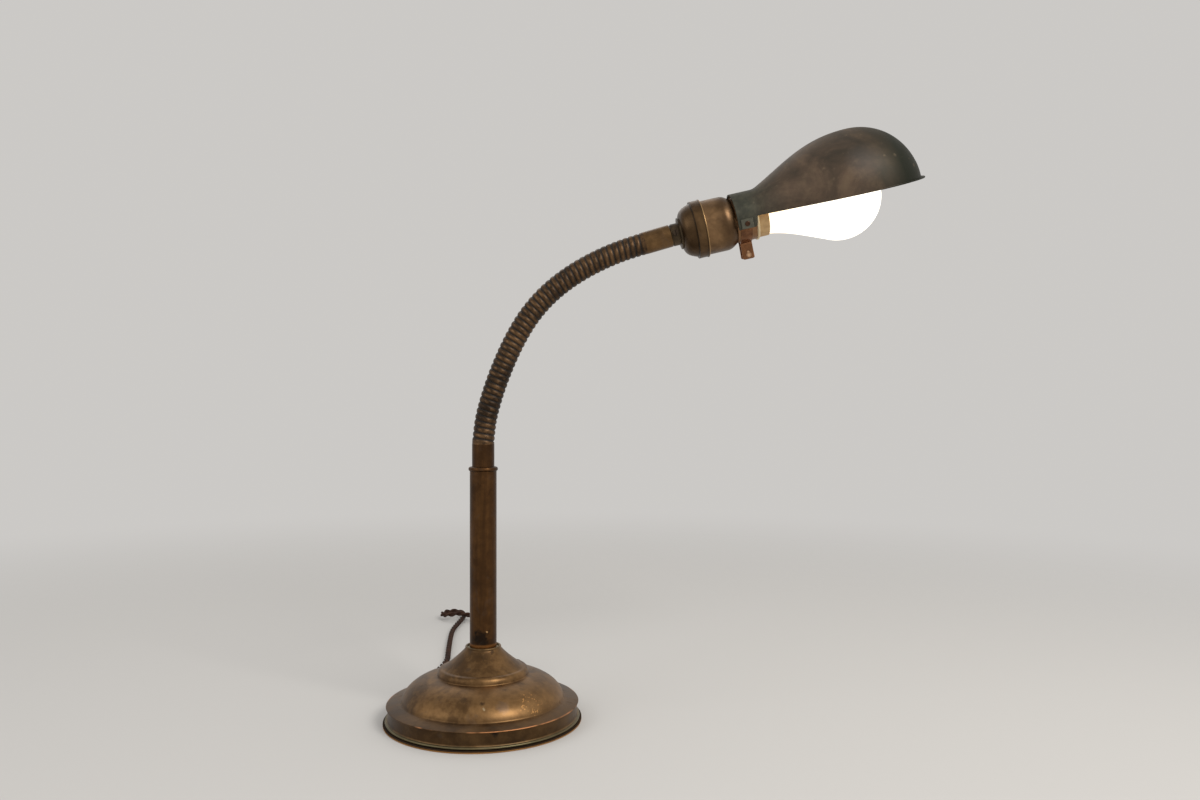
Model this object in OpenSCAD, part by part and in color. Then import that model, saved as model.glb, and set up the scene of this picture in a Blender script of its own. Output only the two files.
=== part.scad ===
// Gooseneck desk lamp: a weighted spun base, a straight stem, a ribbed flexible neck,
// a key socket with a clip-on half shade, and its cord and plug. Millimetres, +Z up.
// The origin is the centre of the base on the table. The neck bends in the XZ plane.

/* [Base] */
// Radius of the base over its felt pad
pad_r = 70.2; // [60:0.1:85]
// Thickness of the felt pad
pad_t = 1.2; // [0.8:0.1:2]
// How far the pad stands out from the rolled hem
pad_show = 1.3; // [0.8:0.1:2]
// How far the flange's sharp edge lies inside the hem
flange_in = 0.8; // [0:0.1:1.2]
// Height of the flange's edge above the table
flange_z = 13; // [12.4:0.1:15]
// Width of the flange, from its edge to the foot of the dome
flange_w = 10.3; // [8:0.1:13]
// Height of the dome's top at the ridge
dome_z = 32.2; // [30:0.2:35]
// Radius of the ridge between dome and neck
ridge_r = 32.4; // [30:0.2:36]
// Height of the base's top lip, which carries the stem
lip_z = 51.8; // [50:0.2:58]
// Sheet thickness of the base shell
shell_t = 1.1; // [0.8:0.1:1.4]
// Room between the cast iron weight and the base's wall
weight_room = 5.5; // [4.5:0.5:12]

/* [Stem] */
// Outer radius of the stem tube
stem_r = 9.525; // [9:0.025:10.4]
// Wall of the stem tube
stem_wall = 1.2; // [0.8:0.1:1.6]
// Length of the stem tube
stem_l = 125; // [80:1:160]
// Height of the beaded collar on the stem
collar_h = 3.2; // [2.6:0.1:5]
// Length of the lower sleeve that shows above the collar
sleeve_l = 16.9; // [12:0.1:24]

/* [Neck] */
// Outer radius of the ribbed neck
neck_r = 7.95; // [7.6:0.05:8.3]
// Radius of each rib's round section
rib_r = 1.1; // [0.9:0.05:1.15]
// Length of one neck link
link_l = 16.2; // [16:0.1:18]
// Direction of the neck where it leaves the stem, in degrees above level
neck_start = 87.3; // [80:0.1:90]

/* [Head] */
// Direction of the socket and shade, in degrees above level
head_tilt = 12.8; // [0:0.2:30]
// Length of the upper sleeve between neck and socket
upper_l = 20.6; // [16:0.2:30]
// Radius of the socket shell
shell_r = 19.2; // [18.8:0.1:20.2]
// Length of the socket shell's full-width stretch that shows
shell_l = 13.5; // [12:0.5:20]
// How far the socket's threaded neck lies inside the shell's side
throat_in = 3.6; // [3.3:0.1:4]
// Reach of the key from the socket's side
key_reach = 17; // [14:0.5:24]
// Radius of the bulb
bulb_r = 30; // [24:0.5:31]
// Length of the bulb's glass from the socket's mouth to its tip
bulb_l = 85; // [80:0.5:90]

/* [Shade] */
// Greatest radius of the shade
shade_r = 46; // [42:0.5:52]
// Distance from the shade's collar to its widest point
shade_wide = 90.8; // [86:0.2:100]
// Distance from the widest point to the tip
shade_tip = 44.2; // [40:0.2:50]
// Sheet thickness of the shade
shade_t = 0.9; // [0.7:0.1:1.2]
// Roll of the shade about the socket, the near side down
shade_roll = 11.8; // [-20:0.2:20]
// Height of the shade's cut edge above the socket's axis
cut_lift = 1.3; // [0.6:0.1:3]

/* [Cord] */
// Radius of the twisted cord
cord_r = 2.5; // [2.2:0.1:2.5]

/* [Hidden] */
LINKS = 12;
RIBS = 4;
$fn = 64;

brass = [0.55, 0.40, 0.20];
bronze = [0.36, 0.27, 0.16];
copper = [0.55, 0.30, 0.18];
patina = [0.30, 0.33, 0.27];
iron = [0.25, 0.25, 0.26];
steel = [0.62, 0.62, 0.60];
fibre = [0.70, 0.55, 0.38];
felt = [0.62, 0.42, 0.22];
china = [0.90, 0.88, 0.82];
opal = [0.98, 0.96, 0.90];
dark = [0.14, 0.11, 0.09];

// Clearances: a seat between fixed pieces, a running fit and a gap between bodies
seat = 0.05;
run_gap = 0.08;
body_gap = 0.3;

// ---- shared shapes ----

// Points of a cubic curve from a to d with the handles b and c
function curve(a, b, c, d, steps) = [for (i = [0:steps])
    let (t = i / steps, s = 1 - t)
    s * s * s * a + 3 * s * s * t * b + 3 * s * t * t * c + t * t * t * d];

// Points of an arc about c, from angle a0 to a1
function arc(c, r, a0, a1, steps) = [for (i = [0:steps])
    let (a = a0 + (a1 - a0) * i / steps)
    c + r * [cos(a), sin(a)]];

function reversed(list) = [for (i = [len(list) - 1:-1:0]) list[i]];

// A ring or tube along +Z from z0 to z1
module tube(r, bore, z0, z1) {
    difference() {
        translate([0, 0, z0]) cylinder(r = r, h = z1 - z0);
        translate([0, 0, z0 - 1]) cylinder(r = bore, h = z1 - z0 + 2);
    }
}

// A ring of round section about Z
module bead(r, section_r, z) {
    translate([0, 0, z])
        rotate_extrude($fn = 48) translate([r, 0]) circle(r = section_r, $fn = 20);
}

// A hexagonal nut along +Z
module hex_nut(across, bore, z0, z1) {
    difference() {
        translate([0, 0, z0]) cylinder(r = across / sqrt(3), h = z1 - z0, $fn = 6);
        translate([0, 0, z0 - 1]) cylinder(r = bore, h = z1 - z0 + 2);
    }
}

// Smooth path through hand-set points
function spline_at(p, i, t) =
    let (n = len(p) - 1,
         a = p[max(i - 1, 0)], b = p[i], c = p[min(i + 1, n)], d = p[min(i + 2, n)])
    0.5 * (2 * b + (c - a) * t + (2 * a - 5 * b + 4 * c - d) * t * t
           + (3 * b - a - 3 * c + d) * t * t * t);
function spline(p, steps) = concat(
    [for (i = [0:len(p) - 2]) for (k = [0:steps - 1]) spline_at(p, i, k / steps)],
    [p[len(p) - 1]]);

function unit(v) = v / norm(v);
function heading(p, i, first, last) =
    i == 0 && norm(first) > 0 ? unit(first) :
    i == len(p) - 1 && norm(last) > 0 ? unit(last) :
    unit(p[min(i + 1, len(p) - 1)] - p[max(i - 1, 0)]);

// A round tube of many rings along a path; first and last set the end faces' directions,
// and across is a direction that the path never takes
module swept(p, r, sides, first = [0, 0, 0], last = [0, 0, 0], across = [0, 0, 1]) {
    n = len(p);
    rings = [for (i = [0:n - 1])
        let (d = heading(p, i, first, last), side = unit(cross(d, across)), up = cross(side, d))
        [for (k = [0:sides - 1])
            let (turn = 360 * (k + 0.5) / sides)
            p[i] + r * (cos(turn) * side + sin(turn) * up)]];
    points = [for (ring = rings) for (q = ring) q];
    walls = [for (i = [0:n - 2]) for (k = [0:sides - 1])
        let (m = (k + 1) % sides)
        [i * sides + k, i * sides + m, (i + 1) * sides + m, (i + 1) * sides + k]];
    start = [for (k = [sides - 1:-1:0]) k];
    end = [for (k = [0:sides - 1]) (n - 1) * sides + k];
    polyhedron(points, concat([start], walls, [end]));
}

// ---- base ----
hem_r = pad_r - pad_show;
flange_r = hem_r - flange_in;
dome_r = flange_r - flange_w;
wall_r = flange_r - 1.1;
pocket_r = 13;
pocket_top = 17.2;
nipple_r = 5;
nipple_bore = 3.6;
nipple_z0 = 11.6;
washer_t = 1.2;
nut_h = 4;
lead_r = 2.3;
weight_r = wall_r - weight_room;
rim_z = flange_z - 0.8;
hub_r = ridge_r - 8.4;
step_r = ridge_r + 7.6;
step_z = dome_z - 12.2;
cord_z = 7.6;
gland_angle = 130;
gland_mouth = wall_r + 6.1;
relief_bore = cord_r + seat;
channel_r = cord_r + 0.8;

// Outer line of the spun shell from the hem up to the lip
ridge_top = [ridge_r - 2.9, dome_z + 5];
lip_r = 12.7;
shell_outer = concat(
    arc([hem_r - 0.9, pad_t + 1.3], 0.9, -90, 60, 8),
    [[wall_r + 0.2, pad_t + 2.6], [wall_r, flange_z - 0.9], [flange_r, flange_z - 0.4],
     [flange_r, flange_z]],
    curve([dome_r - 0.2, flange_z + 2.6], [dome_r - 2.3, flange_z + 11.5],
          [ridge_r + 12.6, dome_z - 1.7], [ridge_r + 0.6, dome_z], 12),
    curve([ridge_r, dome_z + 0.4], [ridge_r - 0.3, dome_z + 3],
          [ridge_r - 1, dome_z + 4.4], ridge_top, 5),
    curve(ridge_top + [-1.2, 0.1], ridge_top + [-4.5, 3],
          [lip_r + 3.8, lip_z - 5.6], [lip_r, lip_z - 0.8], 10)
);
// Inner line, a sheet's thickness inside it
shell_inner = [
    [lip_r - shell_t, lip_z - shell_t - 0.4],
    [lip_r + 3.2, lip_z - 6.9], [ridge_r - 12, dome_z + 9.6], [ridge_r - 5, dome_z + 4],
    [ridge_r - 1.4, dome_z + 1.2], [ridge_r - 1, dome_z - shell_t], [ridge_r + 8, dome_z - 2.6],
    [dome_r - 8.4, dome_z - 8.3], [dome_r - 2.6, flange_z + 4.6], [dome_r - 1.6, flange_z + 1.2],
    [wall_r - shell_t, flange_z - shell_t - 0.3], [wall_r - shell_t, pad_t + 3.2],
    [hem_r - 2.6, pad_t + 0.4]
];
function shell_inside_z(r) =
    lookup(r, [for (q = reversed(shell_inner)) if (q[1] > dome_z + 1) [q[0], q[1]]]);

module base_pad() {
    color(felt) cylinder(r = pad_r, h = pad_t);
}

module base_weight() {
    color(iron) difference() {
        union() {
            translate([0, 0, pad_t]) cylinder(r = weight_r, h = rim_z - pad_t);
            translate([0, 0, pad_t]) cylinder(r = step_r, h = step_z - pad_t);
            translate([0, 0, pad_t]) cylinder(r = hub_r, h = hub_top - pad_t);
        }
        translate([0, 0, pad_t - 1]) cylinder(r = pocket_r, h = pocket_top - pad_t + 1);
        cylinder(r = nipple_r + body_gap, h = lip_z);
        rotate([0, 0, gland_angle]) translate([0, 0, cord_z])
            rotate([0, 90, 0]) cylinder(r = channel_r, h = weight_r + 2);
    }
}
hub_top = shell_inside_z(hub_r) - body_gap;

module base_shell() {
    color(brass) difference() {
        union() {
            rotate_extrude() polygon(concat(shell_outer, [[nipple_r + 0.6, lip_z]],
                [[nipple_r + 0.6, lip_z - shell_t]], shell_inner));
            difference() {
                bead(lip_r - 0.8, 0.8, lip_z);
                translate([0, 0, lip_z]) cylinder(r = stem_r + body_gap, h = 5);
            }
        }
        rotate([0, 0, gland_angle]) translate([wall_r - 8, 0, cord_z])
            rotate([0, 90, 0]) cylinder(r = bush_r + seat, h = 16);
    }
}

module base_washer() {
    color(steel) tube(pocket_r - 1, nipple_r + seat, pocket_top - washer_t, pocket_top);
}

module base_nut() {
    color(steel) hex_nut(16, nipple_r + seat, pocket_top - washer_t - nut_h, pocket_top - washer_t);
}

module base_nipple() {
    reamed = 0.6;
    color(steel) difference() {
        tube(nipple_r, nipple_bore, nipple_z0, lip_z + foot_h - 2);
        translate([0, 0, nipple_z0 - 0.1])
            cylinder(r1 = nipple_bore + reamed + 0.1, r2 = nipple_bore, h = reamed + 0.1);
    }
}

// Bushing in the rear wall, tapering to the cord
bush_r = 3.5;
bush_flange = 3.8;
module cord_bushing() {
    color(dark) rotate([0, 0, gland_angle]) translate([0, 0, cord_z]) rotate([0, 90, 0]) difference() {
        union() {
            translate([0, 0, wall_r - 3.6]) cylinder(r = bush_r, h = 4.2);
            translate([0, 0, wall_r + 0.3]) cylinder(r = bush_flange, h = 1);
            translate([0, 0, wall_r + 1.3])
                rotate_extrude() polygon([[0, 0], [3.9, 0], [3.2, gland_mouth - wall_r - 1.3],
                                          [0, gland_mouth - wall_r - 1.3]]);
        }
        translate([0, 0, wall_r - 5]) cylinder(r = relief_bore, h = 20);
    }
}

// The cord's end inside the base and stem, from the bushing's mouth to the lower sleeve
module inner_lead() {
    turn = 8;
    color(dark) {
        rotate([0, 0, gland_angle]) union() {
            translate([turn, 0, cord_z]) rotate([0, 90, 0]) cylinder(r = lead_r, h = gland_mouth - turn);
            translate([turn, 0, cord_z + turn]) rotate([90, 0, 0]) rotate([0, 0, 180])
                rotate_extrude(angle = 90) translate([turn, 0]) circle(r = lead_r);
            translate([0, 0, cord_z + turn]) cylinder(r = lead_r, h = neck_z - cord_z - turn);
        }
    }
}

// ---- stem ----
foot_h = 12;
stem_bore = stem_r - stem_wall;
stem_top = lip_z + stem_l;
sleeve_top = stem_top + collar_h + sleeve_l;
neck_bore = 5.4;
tube_r = neck_r - 1.35;
rib_pitch = link_l / RIBS;
rib_gap = rib_pitch / 2;
// Greatest angle between two links, and how far each tube stays back from the bend's centre for it
most_bend = 14.5;
end_gap = tube_r * tan(most_bend / 2) + 0.1;
neck_z = sleeve_top + rib_gap - rib_r;
spigot_l = 12;

module stem_foot() {
    color(steel) tube(stem_bore - seat, nipple_r + seat, lip_z, lip_z + foot_h);
}

module stem_tube() {
    color(brass) tube(stem_r, stem_bore, lip_z, stem_top);
}

module stem_collar() {
    bead_r = collar_h / 2;
    color(brass) difference() {
        union() {
            translate([0, 0, stem_top]) cylinder(r = stem_r - 0.3, h = collar_h);
            bead(stem_r + 0.975 - bead_r, bead_r, stem_top + bead_r);
        }
        translate([0, 0, stem_top - 1]) cylinder(r = neck_r + seat, h = collar_h + 2);
    }
}

// The inner winding: a round nose about the bend's centre, which reaches into the next link's bore.
// Half section, with the bend's centre at height 0
nose_ball = neck_bore - body_gap;
nose_bore = 4;
nose_reach = 2.4;
nose_root = 3.4;
module nose_section() {
    polygon(concat(
        [[nose_bore, -nose_root], [neck_bore + 0.3, -nose_root], [neck_bore + 0.3, -end_gap - 0.3],
         [nose_ball - 0.1, -end_gap - 0.3]],
        [for (i = [0:8]) let (z = (i / 8) * (nose_reach + 0.8) - 0.8)
            [sqrt(nose_ball * nose_ball - z * z), z]],
        [[nose_bore, nose_reach]]));
}

module lower_sleeve() {
    bottom = stem_top - spigot_l;
    color(bronze) rotate_extrude() union() {
        translate([neck_bore, bottom]) square([neck_r - neck_bore, sleeve_top - rib_r - bottom]);
        translate([neck_bore, bottom]) square([stem_bore - seat - neck_bore, spigot_l - 2]);
        translate([neck_bore, bottom]) square([neck_r - rib_r - neck_bore, neck_z - end_gap - bottom]);
        translate([neck_r - rib_r, neck_z - rib_gap]) circle(r = rib_r);
        translate([0, neck_z]) nose_section();
    }
}

// ---- neck ----
// Bend of the centre line over each link, in degrees; each link lies along its own chord
bends = [9, 5.5, 3.5, 3.5, 4.5, 7, 9, 8, 6.5, 5.5, 5, 4];
function line_turn(i) = i == 0 ? neck_start : line_turn(i - 1) - bends[i - 1];
function link_turn(i) = line_turn(i) - bends[i] / 2;
function link_start(i) = i == 0 ? [0, 0, neck_z] :
    link_start(i - 1) + link_l * [cos(link_turn(i - 1)), 0, sin(link_turn(i - 1))];
neck_end = link_start(LINKS);
neck_end_turn = line_turn(LINKS);

// Puts its children at the start of link i, with +Z along the neck
module at_link(i) {
    translate(link_start(i)) rotate([0, 90 - link_turn(i), 0]) children();
}

module neck_link(i) {
    color(bronze) at_link(i) rotate_extrude() union() {
        translate([neck_bore, end_gap]) square([tube_r - neck_bore, link_l - 2 * end_gap]);
        for (k = [0:RIBS - 1])
            translate([neck_r - rib_r, rib_gap + k * rib_pitch]) circle(r = rib_r);
        translate([0, link_l]) nose_section();
    }
}
module neck_link_01() neck_link(0);
module neck_link_02() neck_link(1);
module neck_link_03() neck_link(2);
module neck_link_04() neck_link(3);
module neck_link_05() neck_link(4);
module neck_link_06() neck_link(5);
module neck_link_07() neck_link(6);
module neck_link_08() neck_link(7);
module neck_link_09() neck_link(8);
module neck_link_10() neck_link(9);
module neck_link_11() neck_link(10);
module neck_link_12() neck_link(11);

// The two wires that run up the neck, as one flexible piece
module neck_lead() {
    color(dark) swept(spline([for (i = [0:LINKS]) link_start(i)], 2), lead_r, 8, [0, 0, 1],
        [cos(neck_end_turn), 0, sin(neck_end_turn)], [0, 1, 0]);
}

// ---- head: +Z of this frame runs out along the socket's axis, from the sleeve's end ----
hub_seat = neck_end + upper_l * [cos(neck_end_turn), 0, sin(neck_end_turn)];
module at_head() {
    translate(hub_seat) rotate([0, 90 - head_tilt, 0]) children();
}
tail_r = 4.9;
tail_l = 12.6;
hub_l = 6.4;
collar_body_r = 7.9;
throat_r = shell_r - throat_in;
skirt_r = shell_r + 1.2;
hub_flange_r = skirt_r - 9.2;
hub_flange_t = 1.2;
cap_t = 0.8;
cap_z = hub_l + hub_flange_t;
skirt_z = 16.9;
skirt_l = 7.5;
shell_z = skirt_z + skirt_l;
shell_wall = 0.6;
liner_t = 0.8;
shoulder_z = shell_z + shell_l;
throat_z = shoulder_z + 8;
mouth_z = throat_z + 16;
liner_end = mouth_z + 7;

module upper_sleeve() {
    color(bronze) difference() {
        union() {
            translate(neck_end) rotate([0, 90 - neck_end_turn, 0]) rotate_extrude() union() {
                translate([neck_bore, end_gap]) square([neck_r - rib_r - neck_bore, upper_l - end_gap - 4]);
                translate([neck_bore, rib_gap]) square([neck_r - neck_bore, upper_l - rib_gap - 4]);
                translate([0, upper_l - 4.1]) square([neck_r, 4.1]);
                translate([neck_r - rib_r, rib_gap]) circle(r = rib_r);
            }
            at_head() translate([0, 0, -1.5]) cylinder(r = tail_r, h = tail_l + 1.5);
        }
        at_head() translate([0, 0, -6]) cylinder(r = 3.4, h = tail_l + 7);
    }
}

module hub_collar() {
    color(brass) at_head() difference() {
        union() {
            translate([0, 0, 0.5]) cylinder(r = collar_body_r - 0.5, h = hub_l - 0.5);
            translate([0, 0, 1.3]) cylinder(r = collar_body_r, h = hub_l - 2.2);
            translate([0, 0, hub_l]) cylinder(r = hub_flange_r, h = hub_flange_t);
        }
        translate([0, 0, -1]) cylinder(r = tail_r + seat, h = hub_l + 4);
        translate([0, 0, screw_z]) rotate([90, 0, 0]) cylinder(r = screw_r + seat, h = 20);
    }
}
screw_z = 3.3;
screw_r = 1.5;

module hub_screw() {
    color(steel) at_head() translate([0, 0, screw_z]) rotate([90, 0, 0]) difference() {
        union() {
            translate([0, 0, tail_r + 0.1]) cylinder(r = screw_r, h = collar_body_r - tail_r);
            translate([0, 0, collar_body_r + 0.1]) cylinder(r = 2.1, h = 1.3);
        }
        translate([-3, -0.3, collar_body_r + 0.7]) cube([6, 0.6, 2]);
    }
}

module hub_nut() {
    color(steel) at_head() hex_nut(14, tail_r + seat, cap_z + cap_t, cap_z + cap_t + 3.4);
}

// Spun cap: dome from the hub's flange to the skirt round the shell
cap_outer = concat(
    curve([hub_flange_r + 0.3, cap_z], [hub_flange_r + 5.4, cap_z + 1.4],
          [skirt_r - 3.3, cap_z + 4.2], [skirt_r - 1.4, skirt_z - 0.4], 10),
    [[skirt_r - 0.4, skirt_z], [skirt_r, skirt_z + 0.5], [skirt_r, skirt_z + skirt_l - 1.2]],
    arc([skirt_r - 0.2, skirt_z + skirt_l - 0.6], 0.6, -60, 90, 5)
);
module socket_cap() {
    inner = concat(
        [[shell_r + body_gap, skirt_z + skirt_l], [shell_r + body_gap, skirt_z + 1.2],
         [shell_r - 0.9, skirt_z + 0.8]],
        reversed(curve([hub_flange_r - 0.5, cap_z + cap_t], [hub_flange_r + 4.8, cap_z + cap_t + 1.4],
              [skirt_r - 4.1, cap_z + 4.6], [skirt_r - 2.3, skirt_z - 0.2], 8)));
    color(brass) at_head() rotate_extrude()
        polygon(concat([[tail_r + body_gap, cap_z + cap_t], [tail_r + body_gap, cap_z]], cap_outer, inner));
}

module cap_liner() {
    z0 = cap_z + 5.6;
    color(fibre) at_head() rotate_extrude() polygon([
        [shell_r - 6.6, z0], [shell_r - 3.6, skirt_z - 0.4], [shell_r - 1.5, skirt_z + 1.4],
        [shell_r - 1.5, core_z - seat], [shell_r - 2.1, core_z - seat],
        [shell_r - 2.1, skirt_z + 1.6], [shell_r - 4.3, skirt_z], [shell_r - 7.2, z0 + 0.4]]);
}

// Socket shell: full width, shoulder, threaded neck and rolled mouth
shell_back = shell_z - 4.6;
function shell_path(off) = concat(
    [[shell_r - off, shell_back]],
    curve([shell_r - off, shoulder_z], [shell_r - off, shoulder_z + 3.8],
          [throat_r - off + 1.4, shoulder_z + 5.9], [throat_r - off, throat_z], 10));
module socket_shell() {
    color(brass) at_head() difference() {
        union() {
            rotate_extrude() polygon(concat(shell_path(0), [[throat_r, mouth_z]],
                [[throat_r - shell_wall, mouth_z]], reversed(shell_path(shell_wall))));
            difference() {
                bead(throat_r - 0.4, 1.2, mouth_z - 1.2);
                translate([0, 0, mouth_z - 4]) cylinder(r = throat_r - shell_wall, h = 8);
            }
        }
        translate([0, 0, key_z]) rotate([-90, 0, 0]) cylinder(r = spindle_r + 0.4, h = 30);
    }
}

// Fibre lining of the shell; its front edge stands out of the mouth
module shell_liner() {
    gap = shell_wall + seat * 2;
    color(fibre) at_head() difference() {
        rotate_extrude() polygon(concat(
            [[shell_r - gap, core_z]],
            curve([shell_r - gap, shoulder_z], [shell_r - gap, shoulder_z + 3.6],
                  [throat_r - gap + 1.4, shoulder_z + 5.7], [throat_r - gap, throat_z], 10),
            [[throat_r - gap, liner_end], [throat_r - gap - liner_t, liner_end]],
            reversed(concat(
                [[shell_r - gap - liner_t, core_z]],
                curve([shell_r - gap - liner_t, shoulder_z], [shell_r - gap - liner_t, shoulder_z + 3.4],
                      [throat_r - gap - liner_t + 1.4, shoulder_z + 5.5],
                      [throat_r - gap - liner_t, throat_z], 10)))));
        translate([0, 0, key_z]) rotate([-90, 0, 0]) cylinder(r = spindle_r + 0.4, h = 30);
    }
}

// Porcelain body with the switch in it, and the nose that carries the screw shell
core_z = skirt_z + 3.2;
core_l = 14;
core_r = shell_r - shell_wall - liner_t - 0.6;
screw_shell_r = throat_r - 2.45;
nose_r = screw_shell_r - 0.95;
nose_l = 5.5;
nose_z = core_z + core_l + nose_l;
screw_shell_t = 0.35;
screw_shell_end = mouth_z + 2;
key_z = shell_z + 6.4;
spindle_r = 2;
key_hole_y = 3;
module socket_core() {
    color(china) at_head() difference() {
        union() {
            translate([0, 0, core_z]) cylinder(r = core_r, h = core_l);
            translate([0, 0, core_z + core_l]) cylinder(r = nose_r, h = nose_l - 1);
        }
        translate([0, key_hole_y, key_z]) rotate([-90, 0, 0]) cylinder(r = spindle_r + run_gap, h = 30);
        for (s = [-1, 1])
            translate([s * terminal_x, 0, core_z - 1]) cylinder(r = terminal_r + seat, h = terminal_l + 1);
        translate([0, 0, core_z + core_l + nose_l - 4]) cylinder(r = 2.05, h = 6);
    }
}

module screw_shell() {
    z0 = core_z + core_l;
    color(brass) at_head() union() {
        tube(screw_shell_r + screw_shell_t, screw_shell_r, z0, screw_shell_end);
        tube(screw_shell_r + 0.1, nose_r + seat, z0, z0 + 3);
    }
}

module centre_contact() {
    z0 = core_z + core_l + nose_l;
    color(brass) at_head() union() {
        translate([0, 0, z0 - 4]) cylinder(r = 2, h = 4);
        translate([0, 0, z0 - 1]) cylinder(r = 4.5, h = 1);
    }
}

terminal_x = core_r - 6.2;
terminal_r = 1.5;
terminal_l = 6;
module terminal_screws() {
    color(steel) at_head() for (s = [-1, 1]) translate([s * terminal_x, 0, core_z]) difference() {
        union() {
            cylinder(r = terminal_r, h = terminal_l - 1);
            translate([0, 0, -1.6]) cylinder(r = 2.6, h = 1.6);
        }
        translate([-3, -0.35, -2.6]) cube([6, 0.7, 1.7]);
    }
}

// The two wires from the neck to the terminals
wire_r = 1.1;
module socket_wires() {
    back = core_z - 1.6;
    color(dark) at_head() {
        for (s = [-1, 1]) swept(spline([
            [s * 1.25, 0, -0.6], [s * 1.25, 0, 6], [s * 1.3, 0, tail_l], [s * 2.6, 0, tail_l + 2.4],
            [s * (terminal_x - 4), 0, back - 2.4], [s * terminal_x, 0, back - wire_r - 0.1]], 3), wire_r, 8,
            [0, 0, 1], across = [0, 1, 0]);
    }
    color(dark) translate(neck_end) rotate([0, 90 - neck_end_turn, 0])
        cylinder(r = lead_r, h = upper_l - 0.8);
}

// Switch spindle and its key, on the far side of the socket
module key_spindle() {
    color(steel) at_head() translate([0, 0, key_z]) rotate([-90, 0, 0])
        translate([0, 0, key_hole_y + run_gap])
            cylinder(r = spindle_r, h = shell_r + 5 - run_gap - key_hole_y);
}

key_t = 3;
module turn_key() {
    key_y = shell_r + 1;
    color(dark) at_head() translate([0, 0, key_z]) rotate([-90, 0, 0]) difference() {
        union() {
            translate([0, 0, key_y]) cylinder(r = 4, h = 5);
            translate([0, 0, key_y + key_reach / 2 + 1])
                rotate([90, 0, 0]) cylinder(r = key_reach / 2 - 1.5, h = key_t, center = true);
        }
        translate([0, 0, key_y - 1]) cylinder(r = spindle_r + seat, h = 5.05);
    }
}

// ---- bulb ----
bulb_cap_r = screw_shell_r - run_gap;
bulb_neck_r = bulb_cap_r + 0.33;
contact_r = bulb_cap_r - 5.87;
bulb_seat = nose_z + body_gap;
bulb_z0 = liner_end;
bulb_tip = bulb_z0 + bulb_l - 1.2;
ball_z = bulb_tip - bulb_r;
glass_t = 0.8;
// Outline of the glass: straight neck, cone and ball
function glass_line(off) =
    let (r = bulb_r - off, neck = bulb_neck_r - off, a0 = -26)
    concat(curve([neck, bulb_z0 - 3], [neck + 1.6, bulb_z0 + 12],
                 [bulb_r * 0.62, bulb_z0 + 20], [r * cos(a0), ball_z + r * sin(a0)], 14),
           arc([0, ball_z], r, a0 + 6, 90, 18));
module bulb_glass() {
    color(opal) at_head() rotate_extrude() polygon(concat(
        [for (q = glass_line(0)) [max(q[0], 0), q[1]]],
        [for (q = reversed(glass_line(glass_t))) [max(q[0], 0), q[1]]]));
}

module bulb_base() {
    z0 = bulb_seat + 3;
    color(brass) at_head() union() {
        tube(bulb_cap_r, bulb_cap_r - 0.6, z0 + 2.4, bulb_z0 - 3 - seat);
        rotate_extrude() polygon([[bulb_cap_r, z0 + 2.4], [bulb_cap_r - 0.6, z0 + 3.2],
            [contact_r, z0 + 0.6], [contact_r, z0]]);
    }
}

module bulb_contact() {
    color(dark) at_head() union() {
        translate([0, 0, bulb_seat + 1]) cylinder(r = contact_r - seat, h = 3);
        translate([0, 0, bulb_seat]) cylinder(r = contact_r - 2.6, h = 1.2);
    }
}

module bulb_stem() {
    z0 = bulb_seat + 4;
    color(opal) at_head() union() {
        translate([0, 0, z0]) cylinder(r = 5, h = 20);
        translate([0, 0, z0 + 19]) cylinder(r = 2.2, h = 24);
    }
}

module bulb_filament() {
    z0 = bulb_seat + 47.2;
    color(steel) at_head() {
        for (s = [-1, 1]) translate([0, s * 1.2, z0]) rotate([-s * 24, 0, 0]) cylinder(r = 0.45, h = 22);
        translate([0, -10.6, z0 + 20.1]) rotate([-90, 0, 0]) cylinder(r = 0.8, h = 21.2);
    }
}

// ---- shade: half of a spun pear, clipped round the socket's neck ----
collar_z = throat_z + 0.2;
collar_r = shell_r;
collar_l = 15.8;
ear_l = 13.5;
ear_drop = 18;
wide_z = collar_z + shade_wide;
tip_z = wide_z + shade_tip;
function shade_line(off) = concat(
    [[collar_r - off, collar_z], [collar_r - off, collar_z + collar_l]],
    curve([collar_r + 0.5 - off, collar_z + collar_l + 2.9],
          [collar_r + 0.496 * (shade_r - collar_r) - off, collar_z + 0.4846 * shade_wide],
          [shade_r - off, wide_z - 0.3414 * shade_wide], [shade_r - off, wide_z], 14),
    [for (i = [1:12]) [(shade_r - off) * cos(i * 7.5), wide_z + (shade_tip - off) * sin(i * 7.5)]]);

// Places children on the socket's axis, with the shade's roll; angle 0 is the near cut edge
module at_shade() {
    at_head() rotate([0, 0, shade_roll - 90]) children();
}

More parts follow.
